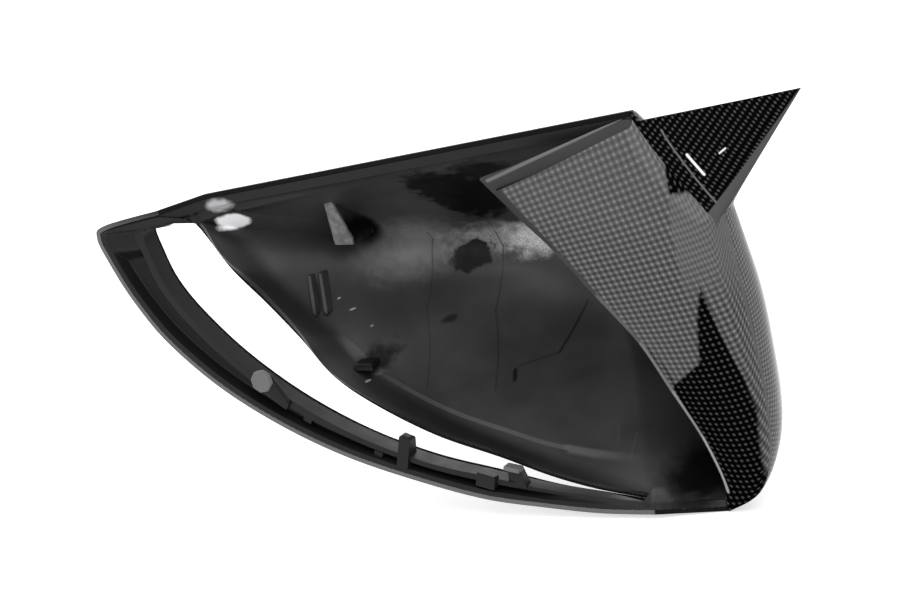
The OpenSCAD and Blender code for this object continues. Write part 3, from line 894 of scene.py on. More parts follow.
@dataclass
class BaseShell:
    """The moulded base: bowl, lip and the strip with its channel."""

    surface: CoverSurface
    skin: float = 1.65
    wall: float = 2.2
    lip_width: float = 3.2
    lip_depth: float = 4.0
    lip_least: float = 0.1
    ledge: float = 0.9
    ledge_span: tuple = (0.0, 0.54)
    ledge_ends: tuple = (0.1, 0.05)
    channel: float = 5.0
    channel_span: tuple = (0.12, 0.8)
    channel_ends: tuple = (0.1, 0.05)
    channel_lean: float = 0.3
    outer_wall: float = 1.8
    outer_part: float = 0.3
    inner_wall: float = 3.0
    inner_part: float = 0.35
    corner: float = 0.45

    def build(self) -> bpy.types.Object:
        """Makes the base between the skin's inside and its own sections.

        Returns:
            The base.
        """
        s = self.surface
        front = s.side(self.skin)
        back = s.side(self.skin + self.wall)
        along = s.outline["along"]
        drop = np.where(s.slot, hump(along, self.ledge_span, self.ledge_ends), 0.0)
        beyond = (s.places >= s.form.ledge_place)[None, :, None]
        back.bowl = back.bowl + s.bowl_normal * (drop[:, None, None] * beyond * self.ledge)
        back.border = self._sections(front, back)
        return s.shell(front, back).build("base_shell_dressed")

    def _sections(self, front: SheetSide, back: SheetSide) -> Array:
        """Back of the border for each ray, from the bowl's rim out to the edge.

        Along the top a section is a lip with a step, under the slot a channel between two walls, and
        at the foot the plain wall. Corners are rounded by rounded(). The flank keeps its plain wall.

        Args:
            front: The base's outer side.
            back: The base's inner side, whose border is the plain wall.

        Returns:
            Rays by stations of points.
        """
        s = self.surface
        zone = s.outline["zone"]
        g, e = front.border[:, -1], back.bowl[:, -1]
        lips = self._lips(g, e)
        pick = np.linspace(s.border_steps - 1, 0, lips.shape[1]).astype(int)
        plain = back.border[:, pick]
        plain[:, 0], plain[:, 1], plain[:, -1] = g, back.border[:, -1], e
        use_plain = s.on_flank | (zone == Zone.FOOT) | ((zone == Zone.SLOT) & ~s.slot)
        sections = np.where(use_plain[:, None, None], plain, lips)
        sections = np.where(s.slot[:, None, None], self._channels(g), sections)
        return self._ordered(rounded(sections, self.corner), s.on_flank, back)

    def _lips(self, edge: Array, rim: Array) -> Array:
        """Sections of the lip: in from the edge, a step forwards, and on to the bowl's rim.

        Args:
            edge: Outer point of each section.
            rim: Inner point of each section.

        Returns:
            Rays by points.
        """
        s = self.surface
        lip = s.border[:, -1] - s.border_normal[:, -1] * (self.skin + self.lip_width)
        depth = np.minimum(self.lip_depth, (rim[:, 1] - lip[:, 1]) / 2)
        root = lip + np.array([0.0, 1.0, 0.0]) * np.maximum(self.lip_least, depth)[:, None]
        return np.stack([edge, lip, root, *(mix(root, rim, q) for q in THIRDS), rim], 1)

    def _channels(self, edge: Array) -> Array:
        """Sections of the strip: an outer wall, the channel, and an inner wall up to the slot.

        Args:
            edge: Outer point of each section.

        Returns:
            Rays by points.
        """
        s = self.surface
        t = s.outline["along"]
        up = np.array([0.0, 1.0, 0.0])
        far = s.border[:, 0]
        inward = unit((far - edge) * IN_MOUTH)
        width = np.linalg.norm((far - edge) * IN_MOUTH, axis=1)[:, None]
        sink = up * self.channel * hump(t, self.channel_span, self.channel_ends)[:, None]
        lean = inward * self.channel_lean
        rim = edge + inward * np.minimum(self.outer_wall, width * self.outer_part)
        wall = far - up * s.form.strip_depth(t)[:, None]
        inner = wall - inward * np.minimum(self.inner_wall, width * self.inner_part)
        return np.stack([edge, rim, rim + sink + lean, inner + sink - lean, inner, wall], 1)

    @staticmethod
    def _ordered(out: Array, on_flank: Array, back: SheetSide) -> Array:
        """Turns the sections round to start at the bowl, and gives the flank's rays the plain wall.

        Args:
            out: Sections from the edge inwards.
            on_flank: Whether each ray is one of the flank's.
            back: The base's inner side.

        Returns:
            Rays by stations of points.
        """
        turned = out[:, ::-1].copy()
        last = back.border.shape[1] - 1
        pick = np.linspace(0, last, turned.shape[1])
        low = np.floor(pick).astype(int)
        share = (pick - low)[None, :, None]
        high = np.minimum(low + 1, last)
        plain = back.border[:, low] * (1 - share) + back.border[:, high] * share
        turned[on_flank] = plain[on_flank]
        turned[on_flank, 0] = back.bowl[on_flank, -1]
        return turned


@dataclass(frozen=True)
class ClipPlan:
    """A clip on the strip: where it stands, and its boxes by lowest corner and size."""

    name: str
    along: float
    boxes: tuple
    bevel: float = 0.3


@dataclass(frozen=True)
class BowlPlan:
    """A piece in the bowl: its boxes, each by its ray and ring, offset from there, and size."""

    name: str
    boxes: tuple
    bevel: float = 0.3


@dataclass
class Clips:
    """Clips, post, hook, tab and ribs that stand on the base."""

    surface: CoverSurface
    large_at: float = 0.5
    head: float = 7.8
    head_sides: int = 8
    head_centre: tuple = (-1.0, 1.8)
    head_reach: float = 4.0
    head_thick: float = 3.2
    neck_part: float = 0.86
    rings: int = 9
    on_strip: tuple[ClipPlan, ...] = (
        ClipPlan("square_post", 0.333, (((-1.6, -1, -4.5), (4, 6.8, 1)),
                                        ((-3, 0.2, 4.8), (4, 4, 0.8)),
                                        ((-2.2, 1, 6), (2.4, 2.4, 0.1)))),
        ClipPlan("snap_hook", 0.205, (((-2, 0.4, -1.5), (6.4, 3.4, 1)),
                                      ((-2, -0.6, 4.2), (4.2, 3, 1))), 0.25),
        ClipPlan("snap_hook_head", 0.205, (((-2.7, -2.6, 4.6), (5.6, 3.8, 1.6)),), 0.35),
        ClipPlan("raised_block", 0.238, (((-3.4, -1.4, -3.6), (6.8, 3.4, 4.6)),), 0.4),
        ClipPlan("cross_wall_1", 0.445, (((-1.6, 0.4, -4.6), (3.2, 5, 2.2)),)),
        ClipPlan("cross_wall_2", 0.362, (((-1.6, 0.4, -4.6), (3.2, 5, 2.2)),)),
    )
    on_bowl: tuple[BowlPlan, ...] = (
        BowlPlan("upper_tab", (((4, 9), (3.7, -1.2, 1.3), (3, 1, 1.4)),
                               ((0, 4), (-2.8, -16.4, 1.5), (7, 1, 2.3))), 0.4),
        BowlPlan("upper_tab_web", (((4, 9), (3.7, -0.5, 1.3), (3, 1.9, 1.4)),
                                   ((0, 4), (-2.8, -15.6, 1.5), (7, 13, 2.3))), 0.4),
        BowlPlan("rib_1", (((67, 6), (-3.4, -4, 0), (1.4, 4, 1)),
                           ((63, 8), (-0.6, -2.2, -1), (1.4, 3.4, 1))), 0.25),
        BowlPlan("rib_2", (((67, 6), (-0.5, -1.68, 0), (1.4, 4, 1)),
                           ((63, 8), (2.3, 0.12, -1), (1.4, 3.4, 1))), 0.25),
        BowlPlan("small_hook", (((58, 8), (-3.2, -4.8, 0), (6.4, 5.8, 1.6)),)),
        BowlPlan("small_hook_lip", (((58, 8), (-3.2, -4.8, -1.2), (6.4, 1.4, 2)),)),
    )

    def build(self) -> list[bpy.types.Object]:
        """Makes every clip as its own closed piece with a small bevel.

        Returns:
            The pieces.
        """
        made = self._large_clip()
        for plan in self.on_strip:
            parts = [box(*sizes) for sizes in plan.boxes]
            made.append(self._hull(plan.name, parts, self._frame_on_strip(plan.along), plan.bevel))
        return made + self._bowl_pieces()

    def _frame_on_strip(self, along: float, step: float = 0.03) -> Array:
        """Axes and origin on the back of the strip: along it, forwards and towards the slot.

        Args:
            along: Share of the slot's length.
            step: Share to both sides over which the strip's run is measured.

        Returns:
            Three axes and the origin, as the columns of a 3 by 4 array.
        """
        f = self.surface.form
        t = np.array([along, along - step, along + step])
        _, lower = f.slot_edges(t)
        rear = lower[0] - (0.0, f.strip_depth(t)[0], 0.0)
        low = spline(f.at(f.low_edge), t)
        run = unit((low[1] - low[2]) * IN_MOUTH)
        return np.stack([run, (0.0, 1.0, 0.0), (-run[2], 0.0, run[0]), rear], 1)

    def _large_clip(self) -> list[bpy.types.Object]:
        """Makes the large clip: an eight-sided head, and a neck that runs down to the strip.

        Returns:
            The head and the neck.
        """
        n, thick = self.head_sides, self.head_thick
        ring = (np.arange(n) + 0.5) * math.tau / n
        x, z = self.head_centre
        head = np.stack([x + self.head / 2 * np.cos(ring), np.full(n, -self.head_reach),
                         z + self.head / 2 * np.sin(ring)], 1)
        slim = (self.neck_part, 1, self.neck_part)
        neck = [(head + (0, thick * 0.5, 0)) * slim, head * slim + (0, thick, 0),
                box((1, -0.8, -3.6), (9, 2.4, 2.6))]
        axes = self._frame_on_strip(self.large_at)
        face = [head, head + (0, thick * 0.55, 0)]
        return [self._hull("large_clip_head", face, axes, 0.35),
                self._hull("large_clip", neck, axes, 0.35)]

    def _bowl_pieces(self) -> list[bpy.types.Object]:
        """Makes the tab, the two ribs and the small hook on the inside of the bowl.

        Returns:
            The pieces.
        """
        inner = self.surface.side(self.surface.form.base_in).bowl
        still = np.hstack([np.eye(3), np.zeros((3, 1))])
        made = []
        for plan in self.on_bowl:
            parts = [box(self._wall_point(inner, *foot) + offset, size)
                     for foot, offset, size in plan.boxes]
            made.append(self._hull(plan.name, parts, still, plan.bevel))
        return made

    def _wall_point(self, inner: Array, ray: int, ring: int) -> Array:
        """Point of the bowl's inner wall at a ray and a ring, the last ring on the ledge.

        Args:
            inner: Points of the inner wall, fine rays by places.
            ray: Number of a ray.
            ring: Number of a ring.

        Returns:
            The point of the fine grid that lies nearest.
        """
        s = self.surface
        place = s.form.ledge_place if ring == self.rings else s.ring_place((ring + 1) / self.rings)
        return inner[ray * s.fine, int(np.abs(s.places - place).argmin())]

    def _hull(self, name: str, parts: Sequence[Array], axes: Array, bevel: float) -> bpy.types.Object:
        """Wraps points in a tight closed form, placed by axes and bevelled.

        Args:
            name: Name of the piece.
            parts: Point sets in millimetres.
            axes: Three axes and an origin, as columns.
            bevel: Width of the bevel in millimetres.

        Returns:
            The piece.
        """
        points = np.concatenate(parts) @ axes[:, :3].T + axes[:, 3] - self.surface.form.seat
        bm = bmesh.new()
        for p in points * MM:
            bm.verts.new(p)
        out = bmesh.ops.convex_hull(bm, input=bm.verts)
        left = out["geom_unused"] + out["geom_interior"]
        spare = {e for e in left if isinstance(e, bmesh.types.BMVert)}
        bmesh.ops.delete(bm, geom=list(spare), context="VERTS")
        bmesh.ops.dissolve_limit(bm, angle_limit=math.radians(2), verts=bm.verts, edges=bm.edges)
        mesh = bpy.data.meshes.new(name)
        bm.to_mesh(mesh)
        bm.free()
        face_outwards(mesh, 30.0)
        obj = add_object(name, mesh)
        mod = obj.modifiers.new("edge", "BEVEL")
        mod.width = bevel * MM
        mod.segments = 3
        mod.limit_method = "ANGLE"
        mod.angle_limit = math.radians(25)
        return obj


@dataclass
class Wiring:
    """Adds nodes to one tree and joins them."""

    tree: bpy.types.NodeTree

    def node(self, kind: str, **settings: Any) -> bpy.types.Node:
        """Adds a node and sets its properties."""
        made = self.tree.nodes.new(kind)
        for key, value in settings.items():
            setattr(made, key, value)
        return made

    def feed(self, socket: bpy.types.NodeSocket, value: Any) -> None:
        """Links another node's socket to this one, or sets its plain value."""
        if isinstance(value, bpy.types.NodeSocket):
            self.tree.links.new(value, socket)
        else:
            socket.default_value = value

    def math(self, kind: str, *values: Any) -> bpy.types.NodeSocket:
        """One Math node."""
        made = self.node("ShaderNodeMath", operation=kind)
        for socket, value in zip(made.inputs, values):
            self.feed(socket, value)
        return made.outputs[0]

    def vector(self, kind: str, *values: Any) -> bpy.types.NodeSocket:
        """One Vector Math node; its number output for a length or a dot product."""
        made = self.node("ShaderNodeVectorMath", operation=kind)
        for socket, value in zip(made.inputs, values):
            self.feed(socket, value)
        return made.outputs["Value" if kind in ("LENGTH", "DOT_PRODUCT") else "Vector"]

    def scaled(self, place: bpy.types.NodeSocket, factor: Any) -> bpy.types.NodeSocket:
        """A vector times a number."""
        made = self.node("ShaderNodeVectorMath", operation="SCALE")
        self.feed(made.inputs[0], place)
        self.feed(made.inputs["Scale"], factor)
        return made.outputs["Vector"]

    def split(self, place: bpy.types.NodeSocket) -> tuple[bpy.types.NodeSocket, ...]:
        """The three numbers of a vector."""
        made = self.node("ShaderNodeSeparateXYZ")
        self.feed(made.inputs[0], place)
        return tuple(made.outputs)

    def noise(self, place: Any, scale: float, detail: float = 2.0) -> bpy.types.NodeSocket:
        """Cloudy noise about 0.5, at so many turns a unit."""
        made = self.node("ShaderNodeTexNoise")
        for name, value in (("Vector", place), ("Scale", scale), ("Detail", detail)):
            self.feed(made.inputs[name], value)
        return made.outputs["Fac"]

    def smooth(self, value: Any, low: Any, high: Any, to_low: Any = 0.0,
               to_high: Any = 1.0) -> bpy.types.NodeSocket:
        """Smooth step of a value from one range to another.

        Args:
            value: The number.
            low: Value that gives to_low.
            high: Value that gives to_high.
            to_low: First result.
            to_high: Last result.

        Returns:
            The socket of the result.
        """
        made = self.node("ShaderNodeMapRange", interpolation_type="SMOOTHSTEP")
        for name, number in (("Value", value), ("From Min", low), ("From Max", high),
                             ("To Min", to_low), ("To Max", to_high)):
            self.feed(made.inputs[name], number)
        return made.outputs["Result"]

    def blend(self, share: Any, first: Any, second: Any) -> bpy.types.NodeSocket:
        """Colour blend from the first to the second by a share."""
        made = self.node("ShaderNodeMix", data_type="RGBA")
        for number, value in ((MIX_SHARE, share), (MIX_FIRST, first), (MIX_SECOND, second)):
            self.feed(made.inputs[number], value)
        return made.outputs[MIX_RESULT]

    def bounded(self, value: Any, low: float, high: float) -> bpy.types.NodeSocket:
        """A number kept between two bounds."""
        return self.math("MINIMUM", self.math("MAXIMUM", value, low), high)

    def curve(self, value: Any, low: float, high: float, knots: Sequence[tuple[float, float]]) -> Any:
        """A number read off straight pieces between knots; low and high bound what it may be.

        Args:
            value: The number that the curve is read at.
            low: Lowest result.
            high: Highest result.
            knots: Pairs of value and result, in rising order of value.

        Returns:
            The socket of the result.
        """
        first, last = knots[0][0], knots[-1][0]
        made = self.node("ShaderNodeFloatCurve")
        line = made.mapping.curves[0]
        while len(line.points) < len(knots):
            line.points.new(0.5, 0.5)
        for point, (at, result) in zip(line.points, knots):
            point.location = ((at - first) / (last - first), (result - low) / (high - low))
            point.handle_type = "VECTOR"
        made.mapping.update()
        share = self.math("DIVIDE", self.math("SUBTRACT", value, first), last - first)
        self.feed(made.inputs["Value"], self.bounded(share, 0.0, 1.0))
        return self.math("ADD", self.math("MULTIPLY", made.outputs["Value"], high - low), low)

    def group(self, tree: bpy.types.NodeTree, **values: Any) -> bpy.types.Node:
        """Places a node group with its inputs."""
        made = self.node("ShaderNodeGroup", node_tree=tree)
        for name, value in values.items():
            self.feed(made.inputs[name], value)
        return made

    def bump(self, height: Any, strength: float, distance: float = 0.0001) -> bpy.types.NodeSocket:
        """Normal bumped by a height, at a strength and a distance in metres."""
        made = self.node("ShaderNodeBump")
        for name, value in (("Strength", strength), ("Distance", distance), ("Height", height)):
            self.feed(made.inputs[name], value)
        return made.outputs["Normal"]

    def place(self, seat: Array) -> bpy.types.NodeSocket:
        """Object place in millimetres, from the point that the outline's knots start at."""
        coords = self.node("ShaderNodeTexCoord")
        return self.vector("ADD", self.scaled(coords.outputs["Object"], 1.0 / MM), tuple(seat))

    def patch(self, kind: Patch) -> bpy.types.NodeSocket:
        """1 on the faces of one kind and 0 on the others."""
        made = self.node("ShaderNodeAttribute", attribute_name="patch")
        return self.math("COMPARE", made.outputs["Fac"], float(kind), 0.5)


def new_material(name: str, **settings: float) -> tuple[bpy.types.Material, Wiring, Any]:
    """Starts a material.

    Args:
        name: Name of the material.
        settings: Plain values of the shader's sockets, with underscores for spaces.

    Returns:
        The material, its wiring and its shader's inputs.
    """
    mat = bpy.data.materials.new(name)
    mat.use_nodes = True
    sockets = mat.node_tree.nodes["Principled BSDF"].inputs
    for label, value in settings.items():
        sockets[label.replace("_", " ")].default_value = value
    return mat, Wiring(mat.node_tree), sockets


def new_group(name: str, inputs: dict[str, str], outputs: Sequence[str]) -> tuple[Wiring, Any, Any]:
    """Starts a node group.

    Args:
        name: Name of the group.
        inputs: Name and kind of each input, Vector or Float.
        outputs: Names of the number outputs.

    Returns:
        Its wiring, its inputs' sockets and its outputs' sockets.
    """
    tree = bpy.data.node_groups.new(name, "ShaderNodeTree")
    for label, kind in inputs.items():
        tree.interface.new_socket(label, in_out="INPUT", socket_type=f"NodeSocket{kind}")
    for label in outputs:
        tree.interface.new_socket(label, in_out="OUTPUT", socket_type="NodeSocketFloat")
    w = Wiring(tree)
    return w, w.node("NodeGroupInput").outputs, w.node("NodeGroupOutput").inputs


@dataclass(frozen=True)
class PatternGroups:
    """The node groups that the finishes share: weave, blot and stroke."""

    weave: bpy.types.NodeTree
    blot: bpy.types.NodeTree
    stroke: bpy.types.NodeTree

    @classmethod
    def build(cls) -> "PatternGroups":
        """Makes the three groups."""
        return cls(cls._weave(), cls._blot(), cls._stroke())

    @staticmethod
    def _weave() -> bpy.types.NodeTree:
        """Light and dark dots of a weave: where the mean of the cosines both ways is high or low.

        Returns:
            The group.
        """
        w, inlet, outlet = new_group("weave_dots", {"Chart": "Vector", "Pitch": "Float"},
                                     ("Light", "Dark", "Height"))
        chart = inlet["Chart"]
        # Slow drift that keeps the threads from running dead straight
        wobble = w.noise(chart, 0.12, 1.0)
        u, v, _ = w.split(w.scaled(chart, w.math("DIVIDE", math.tau, inlet["Pitch"])))
        wave_u = w.math("COSINE", w.math("ADD", u, wobble))
        wave_v = w.math("COSINE", w.math("SUBTRACT", v, wobble))
        both = w.math("MULTIPLY", w.math("ADD", wave_u, wave_v), 0.5)
        # Some dots are brighter than others
        uneven = w.smooth(w.noise(chart, 0.7), 0.2, 0.75, 0.55, 1.0)
        w.feed(outlet["Light"], w.math("MULTIPLY", w.smooth(both, 0.22, 0.95), uneven))
        w.feed(outlet["Dark"], w.smooth(w.math("MULTIPLY", both, -1.0), 0.0, 0.9))
        w.feed(outlet["Height"], both)
        return w.tree

    @staticmethod
    def _blot() -> bpy.types.NodeTree:
        """Soft or ragged spot: 1 inside a radius of 1 about its centre, seen along the mouth.

        Returns:
            The group.
        """
        w, inlet, outlet = new_group("blot", {"Place": "Vector", "Centre": "Vector",
                                              "Radii": "Vector", "Ragged": "Float",
                                              "Soft": "Float"}, ("Mask",))
        place = inlet["Place"]
        off = w.vector("DIVIDE", w.vector("SUBTRACT", place, inlet["Centre"]), inlet["Radii"])
        waver = w.math("SUBTRACT", w.noise(place, 0.28, 5.0), 0.5)
        edge = w.math("ADD", w.vector("LENGTH", off), w.math("MULTIPLY", waver, inlet["Ragged"]))
        w.feed(outlet["Mask"], w.smooth(w.math("SUBTRACT", 1.0, edge), 0.0, inlet["Soft"]))
        return w.tree

    @staticmethod
    def _stroke() -> bpy.types.NodeTree:
        """Thin line: 1 within half its width of the straight piece between two places.

        Returns:
            The group.
        """
        w, inlet, outlet = new_group("stroke", {"Place": "Vector", "Start": "Vector",
                                                "End": "Vector", "Width": "Float"}, ("Mask",))
        flat = w.vector("MULTIPLY", inlet["Place"], tuple(IN_MOUTH))
        run = w.vector("SUBTRACT", inlet["End"], inlet["Start"])
        off = w.vector("SUBTRACT", flat, inlet["Start"])
        dots = w.vector("DOT_PRODUCT", off, run), w.vector("DOT_PRODUCT", run, run)
        share = w.bounded(w.math("DIVIDE", *dots), 0.0, 1.0)
        gap = w.vector("LENGTH", w.vector("SUBTRACT", off, w.scaled(run, share)))
        outer, inner = (w.math("MULTIPLY", inlet["Width"], part) for part in (0.75, 0.25))
        w.feed(outlet["Mask"], w.smooth(gap, outer, inner))
        return w.tree


def grey(level: float) -> tuple[float, float, float, float]:
    """A near neutral colour of one level."""
    return (level, level, level * 1.02, 1.0)


@dataclass(frozen=True)
class Blot:
    """A spot: centre and radii in x and z, its tone, how much of it shows, and its edge."""

    centre: tuple[float, float]
    radii: tuple[float, float]
    tone: float
    share: float = 1.0
    ragged: float = 0.0
    soft: float = 0.3
    grainy: float = 0.0


@dataclass(frozen=True)
class Stroke:
    """A line in x and z, with its width, its tone and how much of it shows."""

    start: tuple[float, float]
    end: tuple[float, float]
    width: float
    tone: float
    share: float = 1.0


def chain(knots: Sequence[tuple[float, float]], width: float,
          tones: Sequence[float]) -> tuple[Stroke, ...]:
    """Strokes from each knot to the next, one tone each."""
    return tuple(Stroke(a, b, width, tone) for a, b, tone in zip(knots, knots[1:], tones))


def lay_blots(w: Wiring, blot: bpy.types.NodeTree, place: Any, colour: Any,
              blots: Sequence[Blot]) -> tuple[Any, Any]:
    """Lays spots over a colour in order.

    Args:
        w: Wiring of the material.
        blot: The spots' node group.
        place: Socket of the place in millimetres.
        colour: Socket of the colour below the spots.
        blots: The spots.

    Returns:
        Sockets of the new colour and of how much the near black spots cover.
    """
    endless = 1e4
    grit_mid = 0.62
    grit = w.noise(place, 2.6, 3.0)
    black: Any = 0.0
    for b in blots:
        spot = w.group(blot, Place=place, Centre=(b.centre[0], 0.0, b.centre[1]),
                       Radii=(b.radii[0], endless, b.radii[1]), Ragged=b.ragged, Soft=b.soft)
        mask = w.math("MULTIPLY", spot.outputs["Mask"], b.share)
        if b.grainy:
            grain = w.smooth(grit, grit_mid - b.grainy, grit_mid, 0.35, 1.0)
            mask = w.math("MULTIPLY", mask, grain)
        colour = w.blend(mask, colour, grey(b.tone))
        if b.tone < BLACK:
            black = w.math("MAXIMUM", black, mask)
    return colour, black


def lay_strokes(w: Wiring, stroke: bpy.types.NodeTree, place: Any, colour: Any,
                strokes: Sequence[Stroke], cover: Any = 1.0) -> Any:
    """Lays lines over a colour in order.

    Args:
        w: Wiring of the material.
        stroke: The lines' node group.
        place: Socket of the place in millimetres.
        colour: Socket of the colour below the lines.
        strokes: The lines.
        cover: Mask of the faces that the lines may show on.

    Returns:
        Socket of the new colour.
    """
    for s in strokes:
        line = w.group(stroke, Place=place, Start=(s.start[0], 0.0, s.start[1]),
                       End=(s.end[0], 0.0, s.end[1]), Width=s.width)
        mask = w.math("MULTIPLY", w.math("MULTIPLY", line.outputs["Mask"], s.share), cover)
        colour = w.blend(mask, colour, grey(s.tone))
    return colour


@dataclass(frozen=True)
class MouldedPlastic:
    """Satin black moulding with the smears, scratches and parting lines of a used part, and painted
    highlights, reflections and shade inside.
    """

    seat: Array
    groups: PatternGroups
    name: str = "moulded_plastic"
    tone: float = 0.034
    land_tone: float = 0.034
    rough: tuple = (0.33, 0.52)
    rough_scale: float = 0.11
    grain_scale: float = 1.6
    grain_depth: float = 0.12
    specular: float = 0.08
    low_from: tuple = (7.0, 1.0)
    low_share: float = 0.28
    low_dull: float = 0.6
    cloud_scale: float = 0.035
    cloud_shares: tuple = (0.75, 1.35)
    sheen_coat: float = 0.45
    sheen_rough: float = 0.34
    cut_from: tuple = (118.0, 124.0)
    cut_tone: float = 0.22
    edge_line: tuple = ((140.0, -13.7), (148.3, -29.6), (158.2, -47.1), (164.4, -64.9),
                        (169.8, -81.5), (174.2, -100.4))
    edge_width: float = 2.6
    edge_tone: float = 0.26
    land_line: Stroke = Stroke((124.7, 12.3), (167.7, 27.2), 1.1, 0.14)
    blots: tuple[Blot, ...] = (
        Blot((60.0, -26.0), (20.0, 14.0), 0.23, 0.85, 0.5, 1.0),
        # Painted reflection: a bright grainy band where the inner fillet mirrors a lamp
        Blot((84.0, -28.0), (21.0, 9.0), 0.45, 0.85, 0.9, 0.8, 0.3),
        Blot((96.5, -29.5), (13.0, 9.5), 1.0, 0.95, 0.8, 0.8, 0.3),
        # Near black patches under the rim: painted shade of the top wall, with a black smear in the
        # first
        Blot((86.0, -5.0), (14.0, 15.5), 0.003, 1.0, 0.9, 0.3),
        Blot((105.0, 4.0), (15.0, 9.0), 0.003, 0.9, 0.9, 0.5),
        Blot((75.5, -33.0), (6.8, 5.4), 0.010, 0.95, 1.1, 0.25),
        # Painted shadow of the upper tab
        Blot((47.0, -16.0), (5.5, 9.0), 0.002, 1.0, 0.4, 0.5),
        Blot((57.0, -56.0), (7.0, 6.0), 0.006, 0.9, 1.2, 0.7),
        # Painted shadow deep in the lower tip
        Blot((164.0, -98.0), (15.0, 15.0), 0.003, 1.0, 0.4, 0.7),
        Blot((72.2, -49.8), (2.6, 1.5), 0.008, 0.8, 0.6, 0.6),
        # Painted highlights: two white reflections at the inner end of the lip
        Blot((11.0, 0.4), (6.6, 3.0), 0.45, 0.9, 0.7, 0.6),
        Blot((13.4, -6.3), (5.6, 3.5), 0.95, 1.0, 0.45, 0.3),
        Blot((46.7, -40.4), (0.9, 0.35), 0.35, 0.9, 0.5, 0.5),
        Blot((42.4, -36.5), (0.5, 0.35), 0.30, 0.9, 0.5, 0.5),
        Blot((53.0, -46.2), (0.5, 0.4), 0.25, 0.8, 0.5, 0.5),
        Blot((56.5, -60.5), (0.9, 0.4), 0.22, 0.8, 0.9, 0.5),
    )
    strokes: tuple[Stroke, ...] = (
        Stroke((63.1, -22.9), (65.6, -46.0), 0.45, 0.010, 0.5),
        Stroke((65.6, -46.0), (73.4, -65.9), 0.45, 0.010, 0.45),
        Stroke((84.1, -25.9), (84.3, -50.3), 0.5, 0.007, 0.7),
        Stroke((84.3, -50.3), (92.2, -69.9), 0.5, 0.007, 0.5),
        Stroke((112.2, -51.5), (107.0, -64.1), 0.8, 0.004, 1.0),
        Stroke((107.0, -64.1), (96.3, -65.8), 0.4, 0.010, 0.8),
        Stroke((95.6, -66.6), (96.7, -68.8), 1.0, 0.003, 1.0),
        Stroke((133.5, -81.6), (136.0, -86.0), 0.5, 0.06, 0.5),
        Stroke((141.0, -85.0), (142.0, -91.0), 0.5, 0.06, 0.5),
        Stroke((147.3, -90.0), (147.8, -95.0), 0.5, 0.05, 0.5),
    )

    def build(self) -> bpy.types.Material:
        """Makes the material: a cloudy ground, its marks, painted highlights, reflections and shadows,
        a sheen that dark marks lack, and grain.

        Returns:
            The material.
        """
        mat, w, sockets = new_material(self.name, Specular_IOR_Level=self.specular,
                                       Coat_Roughness=self.sheen_rough)
        place = w.place(self.seat)
        low = w.smooth(w.split(place)[1], *self.low_from)
        colour, black = self._colour(w, place, low)
        w.feed(sockets["Base Color"], colour)
        dull = w.math("MAXIMUM", black, w.math("MULTIPLY", low, self.low_dull))
        shown = w.math("SUBTRACT", 1.0, dull)
        w.feed(sockets["Coat Weight"], w.math("MULTIPLY", shown, self.sheen_coat))
        worn = w.noise(place, self.rough_scale, 4.0)
        w.feed(sockets["Roughness"], w.smooth(worn, 0.3, 0.75, *self.rough))
        w.feed(sockets["Normal"], w.bump(w.noise(place, self.grain_scale), self.grain_depth))
        return mat

    def _colour(self, w: Wiring, place: Any, low: Any) -> tuple[Any, Any]:
        """Colour of the moulding with its marks, painted highlights, reflections and shadows, and its
        light edges.

        Args:
            w: Wiring of the material.
            place: Socket of the place in millimetres.
            low: Mask of the parts near the mouth, which are darker.

        Returns:
            Sockets of the colour and of how much the near black spots cover.
        """
        clouds = w.smooth(w.noise(place, self.cloud_scale, 3.0), 0.3, 0.7)
        colour = w.blend(clouds, *(grey(self.tone * share) for share in self.cloud_shares))
        colour = w.blend(low, colour, grey(self.tone * self.low_share))
        flank = w.patch(Patch.FLANK)
        colour = w.blend(flank, colour, grey(self.land_tone))
        colour, black = lay_blots(w, self.groups.blot, place, colour, self.blots)
        colour = lay_strokes(w, self.groups.stroke, place, colour, self.strokes)
        free_edge = w.math("MULTIPLY", w.patch(Patch.CUT_LIGHT),
                           w.smooth(w.split(place)[0], *self.cut_from))
        colour = w.blend(free_edge, colour, grey(self.cut_tone))
        lines = chain(self.edge_line, self.edge_width, [self.edge_tone] * len(self.edge_line))
        colour = lay_strokes(w, self.groups.stroke, place, colour, lines + (self.land_line,), flank)
        return colour, black


@dataclass(frozen=True)
class Threads:
    """Tones of a weave: the gaps between the threads, their ground and their light dots."""

    dark: float
    ground: float
    light: float


